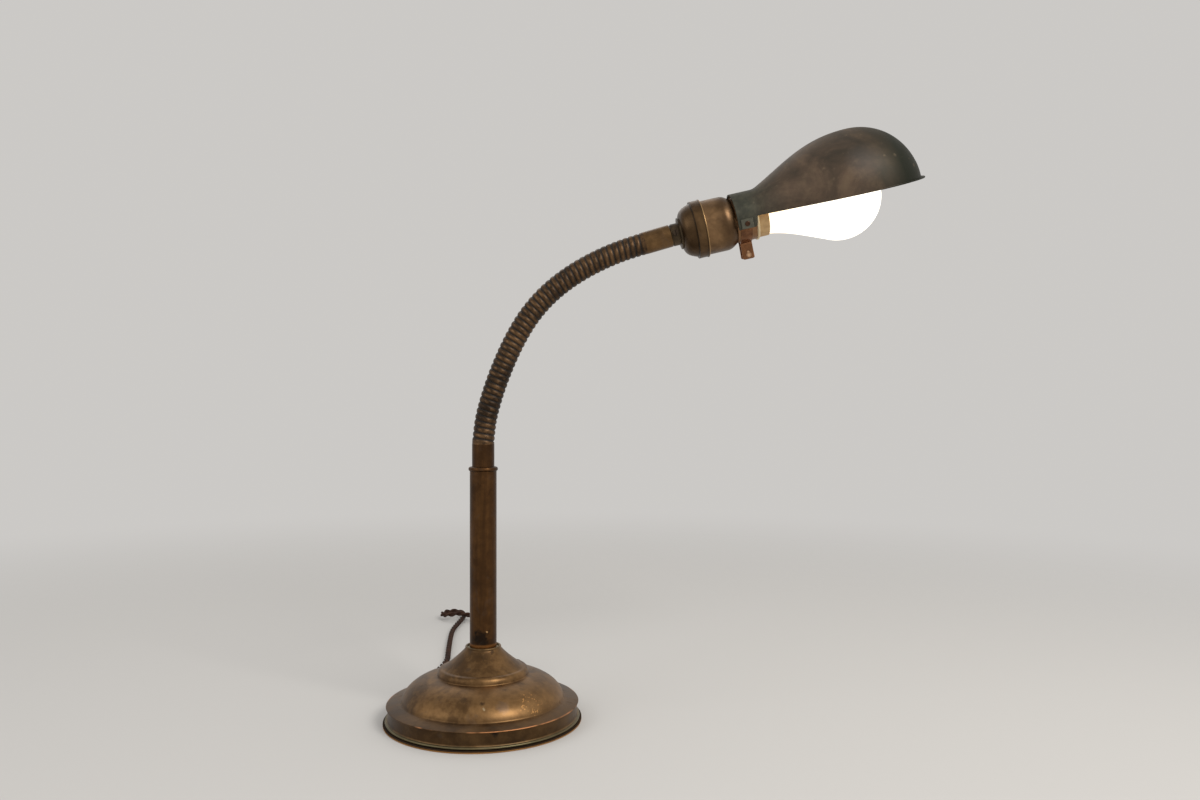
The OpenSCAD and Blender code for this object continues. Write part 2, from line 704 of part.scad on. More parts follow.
// Flat lip turned out round the front of the cut edge, widest at the tip
lip_w = 3;
lip_t = 1;
module shade_lip() {
    outer = [for (i = [0:24])
        [(shade_r + 0.3) * cos(i * 7.5), wide_z + (shade_tip + lip_w) * sin(i * 7.5)]];
    inner = [for (i = [24:-1:0]) [(shade_r - shade_t / 2) * cos(i * 7.5),
                                  wide_z + (shade_tip - shade_t / 2) * sin(i * 7.5)]];
    translate([0, -cut_lift - 0.1, 0]) rotate([90, 0, 0])
        linear_extrude(lip_t) polygon(concat(outer, inner));
}
module shade() {
    ear_top = collar_z + ear_l;
    far = 2 * shade_r;
    color(patina) at_shade() union() {
        difference() {
            rotate_extrude() polygon(concat(shade_line(0),
                [for (q = reversed(shade_line(shade_t))) [max(q[0], 0), q[1]]]));
            for (side = [0, 1]) at_rivet(side) cylinder(r = rivet_r + seat, h = 2 * collar_r);
            // All that lies under the cut edge, and between the ears
            translate([-far, -cut_lift, ear_top]) cube([2 * far, far, tip_z]);
            translate([0, 0, collar_z - 1]) linear_extrude(ear_l + 2)
                polygon([[0, 0], far * [cos(ear_drop), sin(ear_drop)], [0, 2 * far],
                         far * [-cos(ear_drop), sin(ear_drop)]]);
        }
        shade_lip();
    }
}

// ---- clip ----
clip_w = 8.5;
clip_z = collar_z + 1.3;
clip_in = throat_r + body_gap;
clip_t = 0.8;
clip_out = collar_r - shade_t - 0.25 - clip_t;
// Inner radius of the strap at an angle below the cut plane
function strap_r(a) = clip_in + (clip_out - clip_in) * (1 - pow(sin(min(max(a - 14, 0) * 90 / 26, 90)), 2));
// Outline of a strap between two angles; its tip points come between the two faces
function strap(a0, a1, n, tip) = concat(
    [for (i = [0:n]) let (a = a0 + (a1 - a0) * i / n) strap_r(a) * [cos(a), sin(a)]], tip,
    [for (i = [n:-1:0]) let (a = a0 + (a1 - a0) * i / n) (strap_r(a) + clip_t) * [cos(a), sin(a)]]);

// The saddle lies over the socket's neck, and ends a little under the cut plane at both sides
saddle_end = 8;
function saddle_r(a) =
    let (d = min(saddle_end - a, 180 + saddle_end + a))
    clip_in + (clip_out - clip_in) * (1 - pow(sin(min(max(d - 12, 0) * 90 / 26, 90)), 2));
module clip_saddle() {
    angles = [for (i = [0:24]) saddle_end - (180 + 2 * saddle_end) * i / 24];
    color(copper) at_shade() translate([0, 0, clip_z]) linear_extrude(clip_w)
        polygon(concat([for (a = angles) saddle_r(a) * [cos(a), sin(a)]],
                       [for (a = reversed(angles)) (saddle_r(a) + clip_t) * [cos(a), sin(a)]]));
}

// One arm: a strap under the socket's neck, then a lip that hangs down
arm_end = 80;
tab_l = 12;
tab_flare = 0.9;
module clip_arm() {
    foot = clip_in * [cos(arm_end), sin(arm_end)];
    heel = (clip_in + clip_t) * [cos(arm_end), sin(arm_end)];
    translate([0, 0, clip_z]) linear_extrude(clip_w)
        polygon(strap(10, arm_end, 24, [foot + [0.1, tab_l], heel + [tab_flare, tab_l],
                                        heel + [tab_flare / 4, 2]]));
}
module clip_front() {
    color(copper) at_shade() clip_arm();
}
module clip_rear() {
    color(copper) at_shade() mirror([1, 0, 0]) clip_arm();
}

rivet_angle = 7;
rivet_z = clip_z + 4.9;
rivet_r = 1.2;
plate_l = 8.6;
plate_w = 7;
plate_t = 0.7;
module at_rivet(side) {
    rotate([0, 0, side == 0 ? rivet_angle : 180 - rivet_angle])
        translate([0, 0, rivet_z]) rotate([0, 90, 0]) children();
}
module rivet_plates() {
    color(patina) at_shade() for (side = [0, 1]) at_rivet(side) difference() {
        translate([-plate_l / 2, -plate_w / 2, collar_r + 0.2]) cube([plate_l, plate_w, plate_t]);
        cylinder(r = rivet_r + seat, h = 2 * collar_r);
    }
}
module rivets() {
    color(copper) at_shade() for (side = [0, 1]) at_rivet(side) union() {
        translate([0, 0, collar_r - shade_t + 0.1]) cylinder(r = rivet_r, h = 1.9);
        translate([0, 0, collar_r + 0.9]) cylinder(r = 1.8, h = 0.6);
    }
}

// ---- cord: its route starts at the bushing's mouth ----
cord_start = 73.1;
module at_cord() {
    translate((gland_mouth - cord_start) * [cos(gland_angle), sin(gland_angle), 0]) children();
}
coil_centre = [-12, 105];
coil_in = 15;
coil_out = 35;
coil_h = 10.4;
run_points = [
    [-47, 56, 7.6], [-51.5, 61.4, 6.6], [-55, 69, 4.2], [-56, 82, 2.6], [-52.5, 105, 2.6],
    [-49.5, 128, 2.6], [-49, 148, 2.6], [-52, 173, 2.6], [-57, 216, 2.6], [-60, 248, 2.6],
    [-60.2, 272, 2.6], [-58.3, 301, 2.8], [-58, 316.5, 3.6], [-60.4, 323.5, 4.6],
    [-66.7, 327.4, 5.4], [-74.1, 326.6, 5.6], [-79.3, 321.4, 5.4], [-80.1, 314, 5.2],
    [-76.2, 307.7, 5.8], [-69.2, 305.3, 7], [-60.5, 305, 8], [-53.5, 304.7, 6.8],
    [-46.4, 304.6, 5.6], [-40.7, 303.2, 4.2], [-35.9, 298.7, 3.2], [-34.2, 292.4, 2.6],
    [-34.1, 284, 2.6], [-33.6, 262, 2.6], [-31, 240, 2.6], [-28, 215, 2.6], [-24, 185, 2.6],
    [-19, 160, 2.6], [-13, 144, 2.6], [-1.5, 135.8, 2.6]
];
tail_points = [
    [16.5, 90, 7.7], [13.2, 83.7, 8.4], [7.9, 78.5, 10], [0.1, 77.3, 12.5], [-6.8, 81, 15], [-10, 88, 17]
];
plug_mouth = tail_points[len(tail_points) - 1];
plug_turn = 6.8;

module cord_run() {
    color(dark) at_cord() swept(spline(run_points, 2), cord_r, 8, [-0.64, 0.77, 0]);
}

module cord_coil() {
    color(dark) at_cord() translate([coil_centre[0], coil_centre[1], 0.1])
        tube(coil_out, coil_in, 0, coil_h - 0.1);
}

module cord_tail() {
    color(dark) at_cord() swept(spline(tail_points, 3), cord_r, 8, [0, 0, 0],
        [-sin(plug_turn), cos(plug_turn), 0]);
}

// Places children at the plug's mouth, with +Z along the plug
module at_plug() {
    at_cord() translate(plug_mouth) rotate([0, 0, plug_turn]) rotate([-90, 0, 0]) children();
}
relief_l = 10;
plug_l = 26;
plug_w = 20;
plug_h = 12.8;
blade_l = 16;
blade_w = 6.3;
blade_t = 1.5;
blade_pitch = 12.7;
blade_root = 8;

module plug_relief() {
    color(dark) at_plug() rotate_extrude() polygon([[0, 0], [3, 0], [4.6, relief_l], [0, relief_l]]);
}

module plug_body() {
    corner = 4;
    color(dark) at_plug() translate([0, 0, relief_l]) difference() {
        linear_extrude(plug_l) union() {
            square([plug_w - 2 * corner, plug_h], center = true);
            square([plug_w, plug_h - 2 * corner], center = true);
            for (x = [-1, 1]) for (y = [-1, 1])
                translate([x * (plug_w / 2 - corner), y * (plug_h / 2 - corner)]) circle(r = corner);
        }
        for (s = [-1, 1])
            translate([s * blade_pitch / 2 - blade_t / 2, -blade_w / 2, plug_l - blade_root])
                cube([blade_t, blade_w, blade_root + 1]);
    }
}

module plug_blades() {
    color(steel) at_plug() for (s = [-1, 1])
        translate([s * blade_pitch / 2 - blade_t / 2, -blade_w / 2, relief_l + plug_l - blade_root])
            cube([blade_t, blade_w, blade_root + blade_l]);
}

base_pad();
base_weight();
base_shell();
base_nut();
base_washer();
base_nipple();
cord_bushing();
inner_lead();
stem_foot();
stem_tube();
stem_collar();
lower_sleeve();
neck_link_01();
neck_link_02();
neck_link_03();
neck_link_04();
neck_link_05();
neck_link_06();
neck_link_07();
neck_link_08();
neck_link_09();
neck_link_10();
neck_link_11();
neck_link_12();
neck_lead();
upper_sleeve();
hub_collar();
hub_screw();
hub_nut();
socket_cap();
cap_liner();
socket_shell();
shell_liner();
socket_core();
screw_shell();
centre_contact();
terminal_screws();
socket_wires();
key_spindle();
turn_key();
bulb_glass();
bulb_base();
bulb_contact();
bulb_stem();
bulb_filament();
shade();
clip_saddle();
clip_front();
clip_rear();
rivet_plates();
rivets();
cord_run();
cord_coil();
cord_tail();
plug_relief();
plug_body();
plug_blades();
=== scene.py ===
"""Gooseneck desk lamp: its looks, built round the fixed frame. Metres, +Z up, origin under the base's centre."""
from math import asin, cos, pi, radians, sin, sqrt

import bmesh
import bpy
from mathutils import Matrix, Vector, noise


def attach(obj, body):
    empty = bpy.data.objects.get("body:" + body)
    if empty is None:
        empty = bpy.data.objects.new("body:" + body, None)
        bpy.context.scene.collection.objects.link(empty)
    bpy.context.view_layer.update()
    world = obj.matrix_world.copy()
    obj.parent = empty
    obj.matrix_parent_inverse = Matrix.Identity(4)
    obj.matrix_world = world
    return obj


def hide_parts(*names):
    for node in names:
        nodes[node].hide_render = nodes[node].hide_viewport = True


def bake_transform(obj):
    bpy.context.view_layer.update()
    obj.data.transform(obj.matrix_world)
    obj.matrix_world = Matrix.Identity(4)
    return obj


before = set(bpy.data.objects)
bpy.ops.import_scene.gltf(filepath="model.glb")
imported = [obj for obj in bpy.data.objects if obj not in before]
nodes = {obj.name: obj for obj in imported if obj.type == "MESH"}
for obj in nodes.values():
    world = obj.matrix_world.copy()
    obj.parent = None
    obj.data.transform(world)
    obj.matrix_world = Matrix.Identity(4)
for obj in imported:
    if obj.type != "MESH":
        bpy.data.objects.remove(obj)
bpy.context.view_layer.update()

MM = 0.001
scene = bpy.context.scene
scene.view_settings.view_transform = "Standard"


def added(name, data):
    """A new object of that data, in the scene."""
    made = bpy.data.objects.new(name, data)
    scene.collection.objects.link(made)
    return made


# ---- camera ----
eye = added("camera", bpy.data.cameras.new("camera"))
eye.location = (0.0835, -0.695, 0.2276)
eye.rotation_euler = (radians(90), 0, 0)
eye.data.sensor_width = 36
eye.data.lens = 29.16
eye.data.clip_start = 0.01
scene.camera = eye


# ---- shader formulas ----
class Value:
    """One number that a node gives, for use in a formula."""

    def __init__(self, tree, socket):
        self.tree, self.socket = tree, socket

    def made(self, operation, *terms, clamp=False):
        node = self.tree.nodes.new("ShaderNodeMath")
        node.operation, node.use_clamp = operation, clamp
        for i, term in enumerate(terms):
            if isinstance(term, Value):
                self.tree.links.new(term.socket, node.inputs[i])
            else:
                node.inputs[i].default_value = term
        return Value(self.tree, node.outputs[0])

    def __add__(self, other):
        return self.made("ADD", self, other)

    def __sub__(self, other):
        return self.made("SUBTRACT", self, other)

    def __rsub__(self, other):
        return self.made("SUBTRACT", other, self)

    def __mul__(self, other):
        return self.made("MULTIPLY", self, other)

    __radd__, __rmul__ = __add__, __mul__

    def __truediv__(self, other):
        return self.made("DIVIDE", self, other)

    def __abs__(self):
        return self.made("ABSOLUTE", self)

    def most(self, other):
        return self.made("MAXIMUM", self, other)

    def held(self):
        """Kept between 0 and 1."""
        return self.made("ADD", self, 0.0, clamp=True)

    def rise(self, low, high):
        """0 below low, 1 above high, and a straight line between them."""
        return self.made("MULTIPLY", self - low, 1 / (high - low), clamp=True)

    def band(self, middle, width):
        """1 at middle, falling to 0 a width away."""
        return (1 - abs(self - middle) / width).held()


def linear(colour):
    """A colour from its 0 to 255 screen values; one with no value above 1 is linear already."""
    if max(colour) <= 1:
        return colour
    return tuple(((c / 255 + 0.055) / 1.055) ** 2.4 if c > 10 else c / 255 / 12.92 for c in colour)


def darker(colour, share):
    return tuple(c * share for c in linear(colour))


class Finish:
    """A material, or a world, and its nodes."""

    def __init__(self, name, kind=bpy.data.materials):
        self.material = kind.new(name)
        self.material.use_nodes = True
        self.tree = self.material.node_tree
        self.tree.nodes.clear()

    def node(self, kind, settings=None, inputs=None, out=0):
        """A node of that kind, with its settings and then its inputs; gives the output named or numbered out."""
        made = self.tree.nodes.new(kind)
        for name, value in (settings or {}).items():
            setattr(made, name, value)
        for name, value in (inputs or {}).items():
            socket = made.inputs[name]
            if isinstance(value, Value):
                value = value.socket
            if isinstance(value, bpy.types.NodeSocket):
                self.tree.links.new(value, socket)
            else:
                socket.default_value = (*linear(value), 1) if socket.type == "RGBA" else value
        return made.outputs[out]

    def value(self, *args, **kwargs):
        """The same as node, as a number for formulas."""
        return Value(self.tree, self.node(*args, **kwargs))

    def place(self):
        """The point on the piece, in metres."""
        return self.node("ShaderNodeTexCoord", out="Object")

    def vector(self, operation, *terms):
        """The vector that an operation gives."""
        return self.node("ShaderNodeVectorMath", {"operation": operation}, dict(enumerate(terms)))

    def measure(self, operation, *terms):
        """The number that an operation on vectors gives."""
        return self.value("ShaderNodeVectorMath", {"operation": operation}, dict(enumerate(terms)), out="Value")

    def along(self, vector, direction, start=(0, 0, 0)):
        """How far a point is along a direction, from start."""
        return self.measure("DOT_PRODUCT", self.vector("SUBTRACT", vector, start), direction)

    def stretched(self, vector, scale):
        return self.vector("MULTIPLY", vector, scale)

    def from_axis(self, vector):
        """How far a point is from the base's upright axis."""
        return self.measure("LENGTH", self.stretched(vector, (1, 1, 0)))

    def joined(self, x, y, z):
        return self.node("ShaderNodeCombineXYZ", inputs={0: x, 1: y, 2: z})

    def clouds(self, vector, scale, detail=4.0, rough=0.55, warp=0.0):
        inputs = {"Vector": vector, "Scale": scale, "Detail": detail, "Roughness": rough, "Distortion": warp}
        return self.value("ShaderNodeTexNoise", inputs=inputs, out="Fac")

    def cells(self, vector, scale, randomness=1.0):
        """Distance to the nearest of scattered points."""
        inputs = {"Vector": vector, "Scale": scale, "Randomness": randomness}
        return self.value("ShaderNodeTexVoronoi", inputs=inputs, out="Distance")

    def ragged(self, vector, scale, reach):
        """The place shifted about by noise, by up to that reach, for marks with torn edges."""
        inputs = {"Vector": vector, "Scale": scale, "Detail": 3.0}
        shift = self.vector("SUBTRACT", self.node("ShaderNodeTexNoise", inputs=inputs, out="Color"), (0.5, 0.5, 0.5))
        return self.vector("MULTIPLY_ADD", shift, (4 * reach, 4 * reach, 4 * reach), vector)

    def near(self, vector, point, reach):
        """1 at a point, falling to 0 at that reach from it."""
        return (1 - self.measure("DISTANCE", vector, point) / reach).held()

    def mixed(self, share, one, other):
        """From colour one to colour other by share."""
        return self.node("ShaderNodeMix", {"data_type": "RGBA"}, {0: share, 6: one, 7: other}, out=2)

    def layers(self, colour, *layers):
        """The colour under layers, each a share and a colour of its own, one after another."""
        for share, tone in layers:
            colour = self.mixed(share, colour, tone)
        return colour

    def bump(self, height, depth):
        """A bump of that height value, depth in metres."""
        return self.node("ShaderNodeBump", inputs={"Height": height, "Distance": depth, "Strength": 1.0})

    def ended(self, shader, kind="ShaderNodeOutputMaterial"):
        end = self.tree.nodes.new(kind)
        self.tree.links.new(shader, end.inputs["Surface"])
        return self.material

    def done(self, **sockets):
        """Ends in a Principled shader; a name's underscores stand for spaces."""
        inputs = {name.replace("_", " "): value for name, value in sockets.items()}
        return self.ended(self.node("ShaderNodeBsdfPrincipled", inputs=inputs))


# ---- lines, and the cord's route from the bushing to the plug ----
def rising(degrees):
    """The way that climbs by that angle from +X."""
    return Vector((cos(radians(degrees)), 0, sin(radians(degrees))))


def smooth_path(points, steps):
    """A smooth curve through the points, with that many steps from each to the next."""
    points = [Vector(p) for p in points]
    last = len(points) - 1
    found = []
    for i in range(last):
        a, b, c, d = (points[max(i - 1, 0)], points[i], points[i + 1], points[min(i + 2, last)])
        for k in range(steps):
            t = k / steps
            found.append(0.5 * (2 * b + (c - a) * t + (2 * a - 5 * b + 4 * c - d) * t ** 2
                                + (3 * b - a - 3 * c + d) * t ** 3))
    return found + [points[last]]


def ease(t):
    t = min(max(t, 0), 1)
    return t * t * (3 - 2 * t)


CORD_R = 0.0025
RUN = [(-0.047, 0.056, 0.0076), (-0.0515, 0.0614, 0.0066), (-0.055, 0.069, 0.0042), (-0.056, 0.082, 0.0026),
       (-0.0525, 0.105, 0.0026), (-0.0495, 0.128, 0.0026), (-0.049, 0.148, 0.0026), (-0.052, 0.173, 0.0026),
       (-0.057, 0.216, 0.0026), (-0.06, 0.248, 0.0026), (-0.0602, 0.272, 0.0026), (-0.0583, 0.301, 0.0028),
       (-0.058, 0.3165, 0.0036), (-0.0604, 0.3235, 0.0046), (-0.0667, 0.3274, 0.0054),
       (-0.0741, 0.3266, 0.0056), (-0.0793, 0.3214, 0.0054), (-0.0801, 0.314, 0.0052),
       (-0.0762, 0.3077, 0.0058), (-0.0692, 0.3053, 0.007), (-0.0605, 0.305, 0.008), (-0.0535, 0.3047, 0.0068),
       (-0.0464, 0.3046, 0.0056), (-0.0407, 0.3032, 0.0042), (-0.0359, 0.2987, 0.0032),
       (-0.0342, 0.2924, 0.0026), (-0.0341, 0.284, 0.0026), (-0.0336, 0.262, 0.0026), (-0.031, 0.24, 0.0026),
       (-0.028, 0.215, 0.0026), (-0.024, 0.185, 0.0026), (-0.019, 0.16, 0.0026), (-0.013, 0.144, 0.0026),
       (-0.0015, 0.1358, 0.0026)]
TAIL = [(0.0165, 0.09, 0.0077), (0.0132, 0.0837, 0.0084), (0.0079, 0.0785, 0.01), (0.0001, 0.0773, 0.0125),
        (-0.0068, 0.081, 0.015), (-0.01, 0.088, 0.017)]
COIL = Vector((-0.012, 0.105, 0))
COIL_LAYERS = (0.0026, 0.0074)
COIL_OUT, COIL_STEP, COIL_END = 0.0312, 0.0047, 0.0011
COIL_START, COIL_TURNS, COIL_POINTS = 71.2, 7.275, 40
COIL_SHIFT, SHIFT_IN, SHIFT_OUT = 0.2, 0.8, 0.62


def coil_turns():
    """Four turns inward on the table, then out again on top of them, clockwise seen from above."""
    low, high = COIL_LAYERS
    found = []
    for i in range(1, round(COIL_TURNS * COIL_POINTS)):
        turn, share = divmod(i / COIL_POINTS, 1)
        inward = ease((share - SHIFT_IN) / COIL_SHIFT)
        if turn < 3:
            radius, height = COIL_OUT - COIL_STEP * (turn + inward), low
        elif turn == 3:
            radius, height = COIL_OUT - 3 * COIL_STEP, low + (high - low) * inward
        else:
            outward = turn - 4 + ease((share - SHIFT_OUT) / COIL_SHIFT)
            radius, height = COIL_OUT - COIL_STEP * (3 - min(outward, 3)), high
        begun = ease(i / COIL_POINTS / COIL_SHIFT)
        radius += COIL_END * (1 - begun + ease((i / COIL_POINTS - COIL_TURNS + COIL_SHIFT) / COIL_SHIFT))
        angle = radians(COIL_START) - 2 * pi * i / COIL_POINTS
        found.append(COIL + Vector((radius * cos(angle), radius * sin(angle), height)))
    return found


def lengths_along(points):
    """How far along a line each of its points is."""
    found = [0.0]
    for p, q in zip(points, points[1:]):
        found.append(found[-1] + (q - p).length)
    return found


def even(points, step):
    """The same line with points a step apart."""
    lengths = lengths_along(points)
    count = max(2, round(lengths[-1] / step))
    found, k = [], 0
    for i in range(count + 1):
        at = lengths[-1] * i / count
        while k < len(points) - 2 and lengths[k + 1] < at:
            k += 1
        share = (at - lengths[k]) / max(lengths[k + 1] - lengths[k], 1e-9)
        found.append(points[k].lerp(points[k + 1], share))
    return found


route = smooth_path(RUN, 8) + coil_turns() + smooth_path(TAIL, 8)


def bare_mesh(name, verts, faces):
    mesh = bpy.data.meshes.new(name)
    mesh.from_pydata([tuple(v) for v in verts], [], faces)
    mesh.update()
    return mesh


def placed(name, mesh, material, sharp):
    """A smooth-shaded object with sharp edges above that angle."""
    mesh.shade_smooth()
    mesh.set_sharp_from_angle(angle=radians(sharp))
    mesh.materials.append(material)
    return added(name, mesh)


def piece(name, verts, faces, material, sharp=40):
    """An object of these faces, all of them turned outward."""
    mesh = bare_mesh(name, verts, faces)
    work = bmesh.new()
    work.from_mesh(mesh)
    bmesh.ops.remove_doubles(work, verts=work.verts, dist=1e-7)
    bmesh.ops.recalc_face_normals(work, faces=work.faces)
    work.to_mesh(mesh)
    work.free()
    return placed(name, mesh, material, sharp)


def turns(sides):
    """The angles of a full turn's equal steps."""
    return [2 * pi * k / sides for k in range(sides)]


def bands(rings, n, first=0, closed=False):
    """Faces that join rings of n points each, one to the next, and if closed the last to the first."""
    faces = []
    for i in range(rings if closed else rings - 1):
        a, b = first + i * n, first + (i + 1) % rings * n
        faces += [(a + k, a + (k + 1) % n, b + (k + 1) % n, b + k) for k in range(n)]
    return faces


def frames_along(line):
    """All along a line: a point, a side that turns as little as it can, and the way square to it and to the line."""
    side = None
    found = []
    for i, p in enumerate(line):
        ahead = (line[min(i + 1, len(line) - 1)] - line[max(i - 1, 0)]).normalized()
        if side is None:
            side = ahead.cross(Vector((0, 0, 1)) if abs(ahead.z) < 0.9 else Vector((0, 1, 0)))
        side = (side - ahead * side.dot(ahead)).normalized()
        found.append((p, side, side.cross(ahead)))
    return found


def twisted_pair(name, line, material, radius, lay, sides=10):
    """Two strands laid round each other; a turn takes lay metres."""
    strand, offset = radius * 0.5, radius * 0.49
    verts, faces = [], []
    rings = len(line)
    for which in (0, 1):
        first = len(verts)
        for (p, side, up), gone in zip(frames_along(line), lengths_along(line)):
            turn = 2 * pi * gone / lay + pi * which
            middle = p + offset * (cos(turn) * side + sin(turn) * up)
            verts += [middle + strand * (cos(a) * side + sin(a) * up) for a in turns(sides)]
        faces += bands(rings, sides, first)
        faces.append(tuple(first + k for k in reversed(range(sides))))
        faces.append(tuple(first + (rings - 1) * sides + k for k in range(sides)))
    return piece(name, verts, faces, material, 80)


# ---- the cord ----
def cloth_cover():
    """Brown cotton braid over rubber."""
    f = Finish("cotton_braid")
    at = f.place()
    weave = f.cells(at, 1500, 0.35)
    dust = f.clouds(at, 90, 5)
    worn = f.clouds(at, 420, 3)
    colour = f.layers(
        (46, 24, 14), (dust.rise(0.35, 0.7), (76, 46, 28)), (weave.rise(0.25, 0.6) * 0.5, (20, 11, 7)),
        (worn.rise(0.62, 0.8) * 0.5, (110, 78, 52)))
    return f.done(Base_Color=colour, Roughness=0.72 + 0.2 * dust, Normal=f.bump(weave, 0.0002),
                  Specular_IOR_Level=0.3)


cord_finish = cloth_cover()
cord_line = even(route, step=0.0011)
cord = twisted_pair("cord", cord_line, cord_finish, CORD_R, lay=0.017)
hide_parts("cord_run", "cord_coil", "cord_tail")
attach(cord, "base")


# ---- floor and light ----
PALE = (0.60, 0.585, 0.565)
FLOOR_R, FLOOR_Z, FLOOR_SIDES = 2.6, -0.0002, 96
FADE_FROM, FADE_TO = 0.40, 1.35
SKY_TINT, SKY_LIGHT = (1.0, 0.99, 0.97), 0.6


def studio_floor():
    """Plain pale floor that fades into the background far out."""
    f = Finish("pale_floor")
    gone = f.measure("LENGTH", f.place()).rise(FADE_FROM, FADE_TO)
    matte = f.node("ShaderNodeBsdfDiffuse", inputs={"Color": PALE})
    clear = f.node("ShaderNodeBsdfTransparent")
    return f.ended(f.node("ShaderNodeMixShader", inputs={0: gone * gone * (3 - 2 * gone), 1: matte, 2: clear}))


def studio_world():
    """Plain pale backdrop where it is seen, and soft light everywhere else."""
    f = Finish("studio", bpy.data.worlds)
    camera, glossy, through = [f.value("ShaderNodeLightPath", out=f"Is {ray} Ray")
                               for ray in ("Camera", "Glossy", "Transmission")]
    lit = f.node("ShaderNodeBackground", inputs={"Color": SKY_TINT, "Strength": SKY_LIGHT})
    shown = f.node("ShaderNodeBackground", inputs={"Color": PALE, "Strength": 1.0})
    seen = camera.most(glossy).most(through)
    return f.ended(f.node("ShaderNodeMixShader", inputs={0: seen, 1: lit, 2: shown}), "ShaderNodeOutputWorld")


def softbox(name, place, target, size, power, tint=(1, 1, 1)):
    """A square light of that size and power, turned to its target."""
    lamp = bpy.data.lights.new(name, "AREA")
    lamp.shape, lamp.size = "SQUARE", size
    lamp.energy, lamp.color = power, tint
    made = added(name, lamp)
    made.location = place
    made.rotation_euler = (Vector(target) - Vector(place)).to_track_quat("-Z", "Y").to_euler()


rim = [(FLOOR_R * cos(a), FLOOR_R * sin(a), FLOOR_Z) for a in turns(FLOOR_SIDES)]
floor = piece("floor", rim, [tuple(range(FLOOR_SIDES))], studio_floor())
scene.world = studio_world()
softbox("key_light", (0.95, -0.95, 1.15), (0.08, 0, 0.2), size=0.7, power=15.5, tint=(1.0, 0.97, 0.93))
softbox("fill_light", (-1.1, -0.7, 0.8), (0.05, 0, 0.2), size=0.9, power=3.6, tint=(0.95, 0.97, 1.0))
softbox("back_light", (-0.3, 1.2, 1.3), (0.1, 0, 0.2), size=1.0, power=2.5)


# ---- sizes in mm, the neck's line and the head's frame ----
def at_mm(basis, x, y, z):
    """The place of a point that is given in a frame, in mm."""
    return basis @ (Vector((x, y, z)) * MM)


BASE_LIP, STEM_L, STEM_RING, SLEEVE_L = 51.8, 125, 3.2, 16.9
SLEEVE_TOP = BASE_LIP + STEM_L + STEM_RING + SLEEVE_L
NECK_R, RIB_R, LINK_L = 7.95, 1.1, 16.2
RIB_GAP = LINK_L / 8
NECK_START, HEAD_TILT, UPPER_L = 87.3, 12.8, 20.6
BENDS = (9, 5.5, 3.5, 3.5, 4.5, 7, 9, 8, 6.5, 5.5, 5, 4)
JOINTS = [Vector((0, 0, SLEEVE_TOP + RIB_GAP - RIB_R))]
line_turn = NECK_START
for bend in BENDS:
    JOINTS.append(JOINTS[-1] + LINK_L * rising(line_turn - bend / 2))
    line_turn -= bend
NECK_END_WAY = rising(line_turn)
HUB = (JOINTS[-1] + UPPER_L * NECK_END_WAY) * MM
AXIS = rising(HEAD_TILT)
DOWN = Vector((AXIS.z, 0, -AXIS.x))
FAR = Vector((0, 1, 0))
FROM_HUB = (tuple(AXIS), tuple(HUB))
HEAD = Matrix((DOWN, FAR, AXIS)).transposed().to_4x4()
HEAD.translation = HUB
SHADE_ROLL = 11.8 - 90
SHADE = HEAD @ Matrix.Rotation(radians(SHADE_ROLL), 4, "Z")

# Along the socket's axis from the hub, and radii
CAP_Z, SKIRT_R, SKIRT_Z, SKIRT_L, SHELL_R = 7.6, 20.4, 16.9, 7.5, 19.2
SHELL_Z = SKIRT_Z + SKIRT_L
SHOULDER_Z = SHELL_Z + 13.5
THROAT_R, THROAT_Z = 15.6, SHOULDER_Z + 8
MOUTH_Z = THROAT_Z + 16
LINER_END = MOUTH_Z + 7
COLLAR_Z, COLLAR_R, COLLAR_L, EAR_L, EAR_DROP = THROAT_Z + 0.2, SHELL_R, 15.8, 13.5, 18
SHADE_R, SHADE_T, CUT_LIFT = 46, 0.9, 1.3   # CUT_LIFT: from the middle plane to the half's cut edge
WIDE_Z = COLLAR_Z + 90.8
TIP_L, LIP_W, LIP_T = 44.2, 3, 1
EAR_TOP = COLLAR_Z + EAR_L
CLIP_W, CLIP_Z, CLIP_T = 8.5, COLLAR_Z + 1.3, 0.8
CLIP_IN, CLIP_OUT = THROAT_R + 0.3, COLLAR_R - SHADE_T - 0.25 - CLIP_T
SADDLE_END, ARM_START, ARM_END, TAB_L, TAB_FLARE = 8, 10, 80, 12, 1.3
RIVET_ANGLE, RIVET_Z, RIVET_R = 7, CLIP_Z + 4.9, 1.2
# where the bulb's painted reflection sits on each tab
TAB_GLINTS = [tuple(at_mm(SHADE, side * 4.2, THROAT_R + TAB_L - 2.4, CLIP_Z + CLIP_W / 2 + 0.4)) for side in (1, -1)]
# a painted sheen: the spot where the shade shows a pale reflection
SHEEN = (0.2627, -0.040, 0.3873)
DENT = 0.055   # scale of the dents, per mm


def outline(*parts):
    """One line of points, from single points and lists of them."""
    return [Vector(p) for part in parts for p in (part if isinstance(part, list) else [part])]


def curve(a, b, c, d, steps):
    """Points of a cubic curve from a to d with the handles b and c."""
    a, b, c, d = map(Vector, (a, b, c, d))
    shares = [(1 - i / steps, i / steps) for i in range(steps + 1)]
    return [s ** 3 * a + 3 * s * s * t * b + 3 * s * t * t * c + t ** 3 * d for s, t in shares]


def arc(centre, r, a0, a1, steps):
    """Points of an arc, angles in degrees."""
    angles = [radians(a0 + (a1 - a0) * i / steps) for i in range(steps + 1)]
    return [Vector((centre[0] + r * cos(a), centre[1] + r * sin(a))) for a in angles]


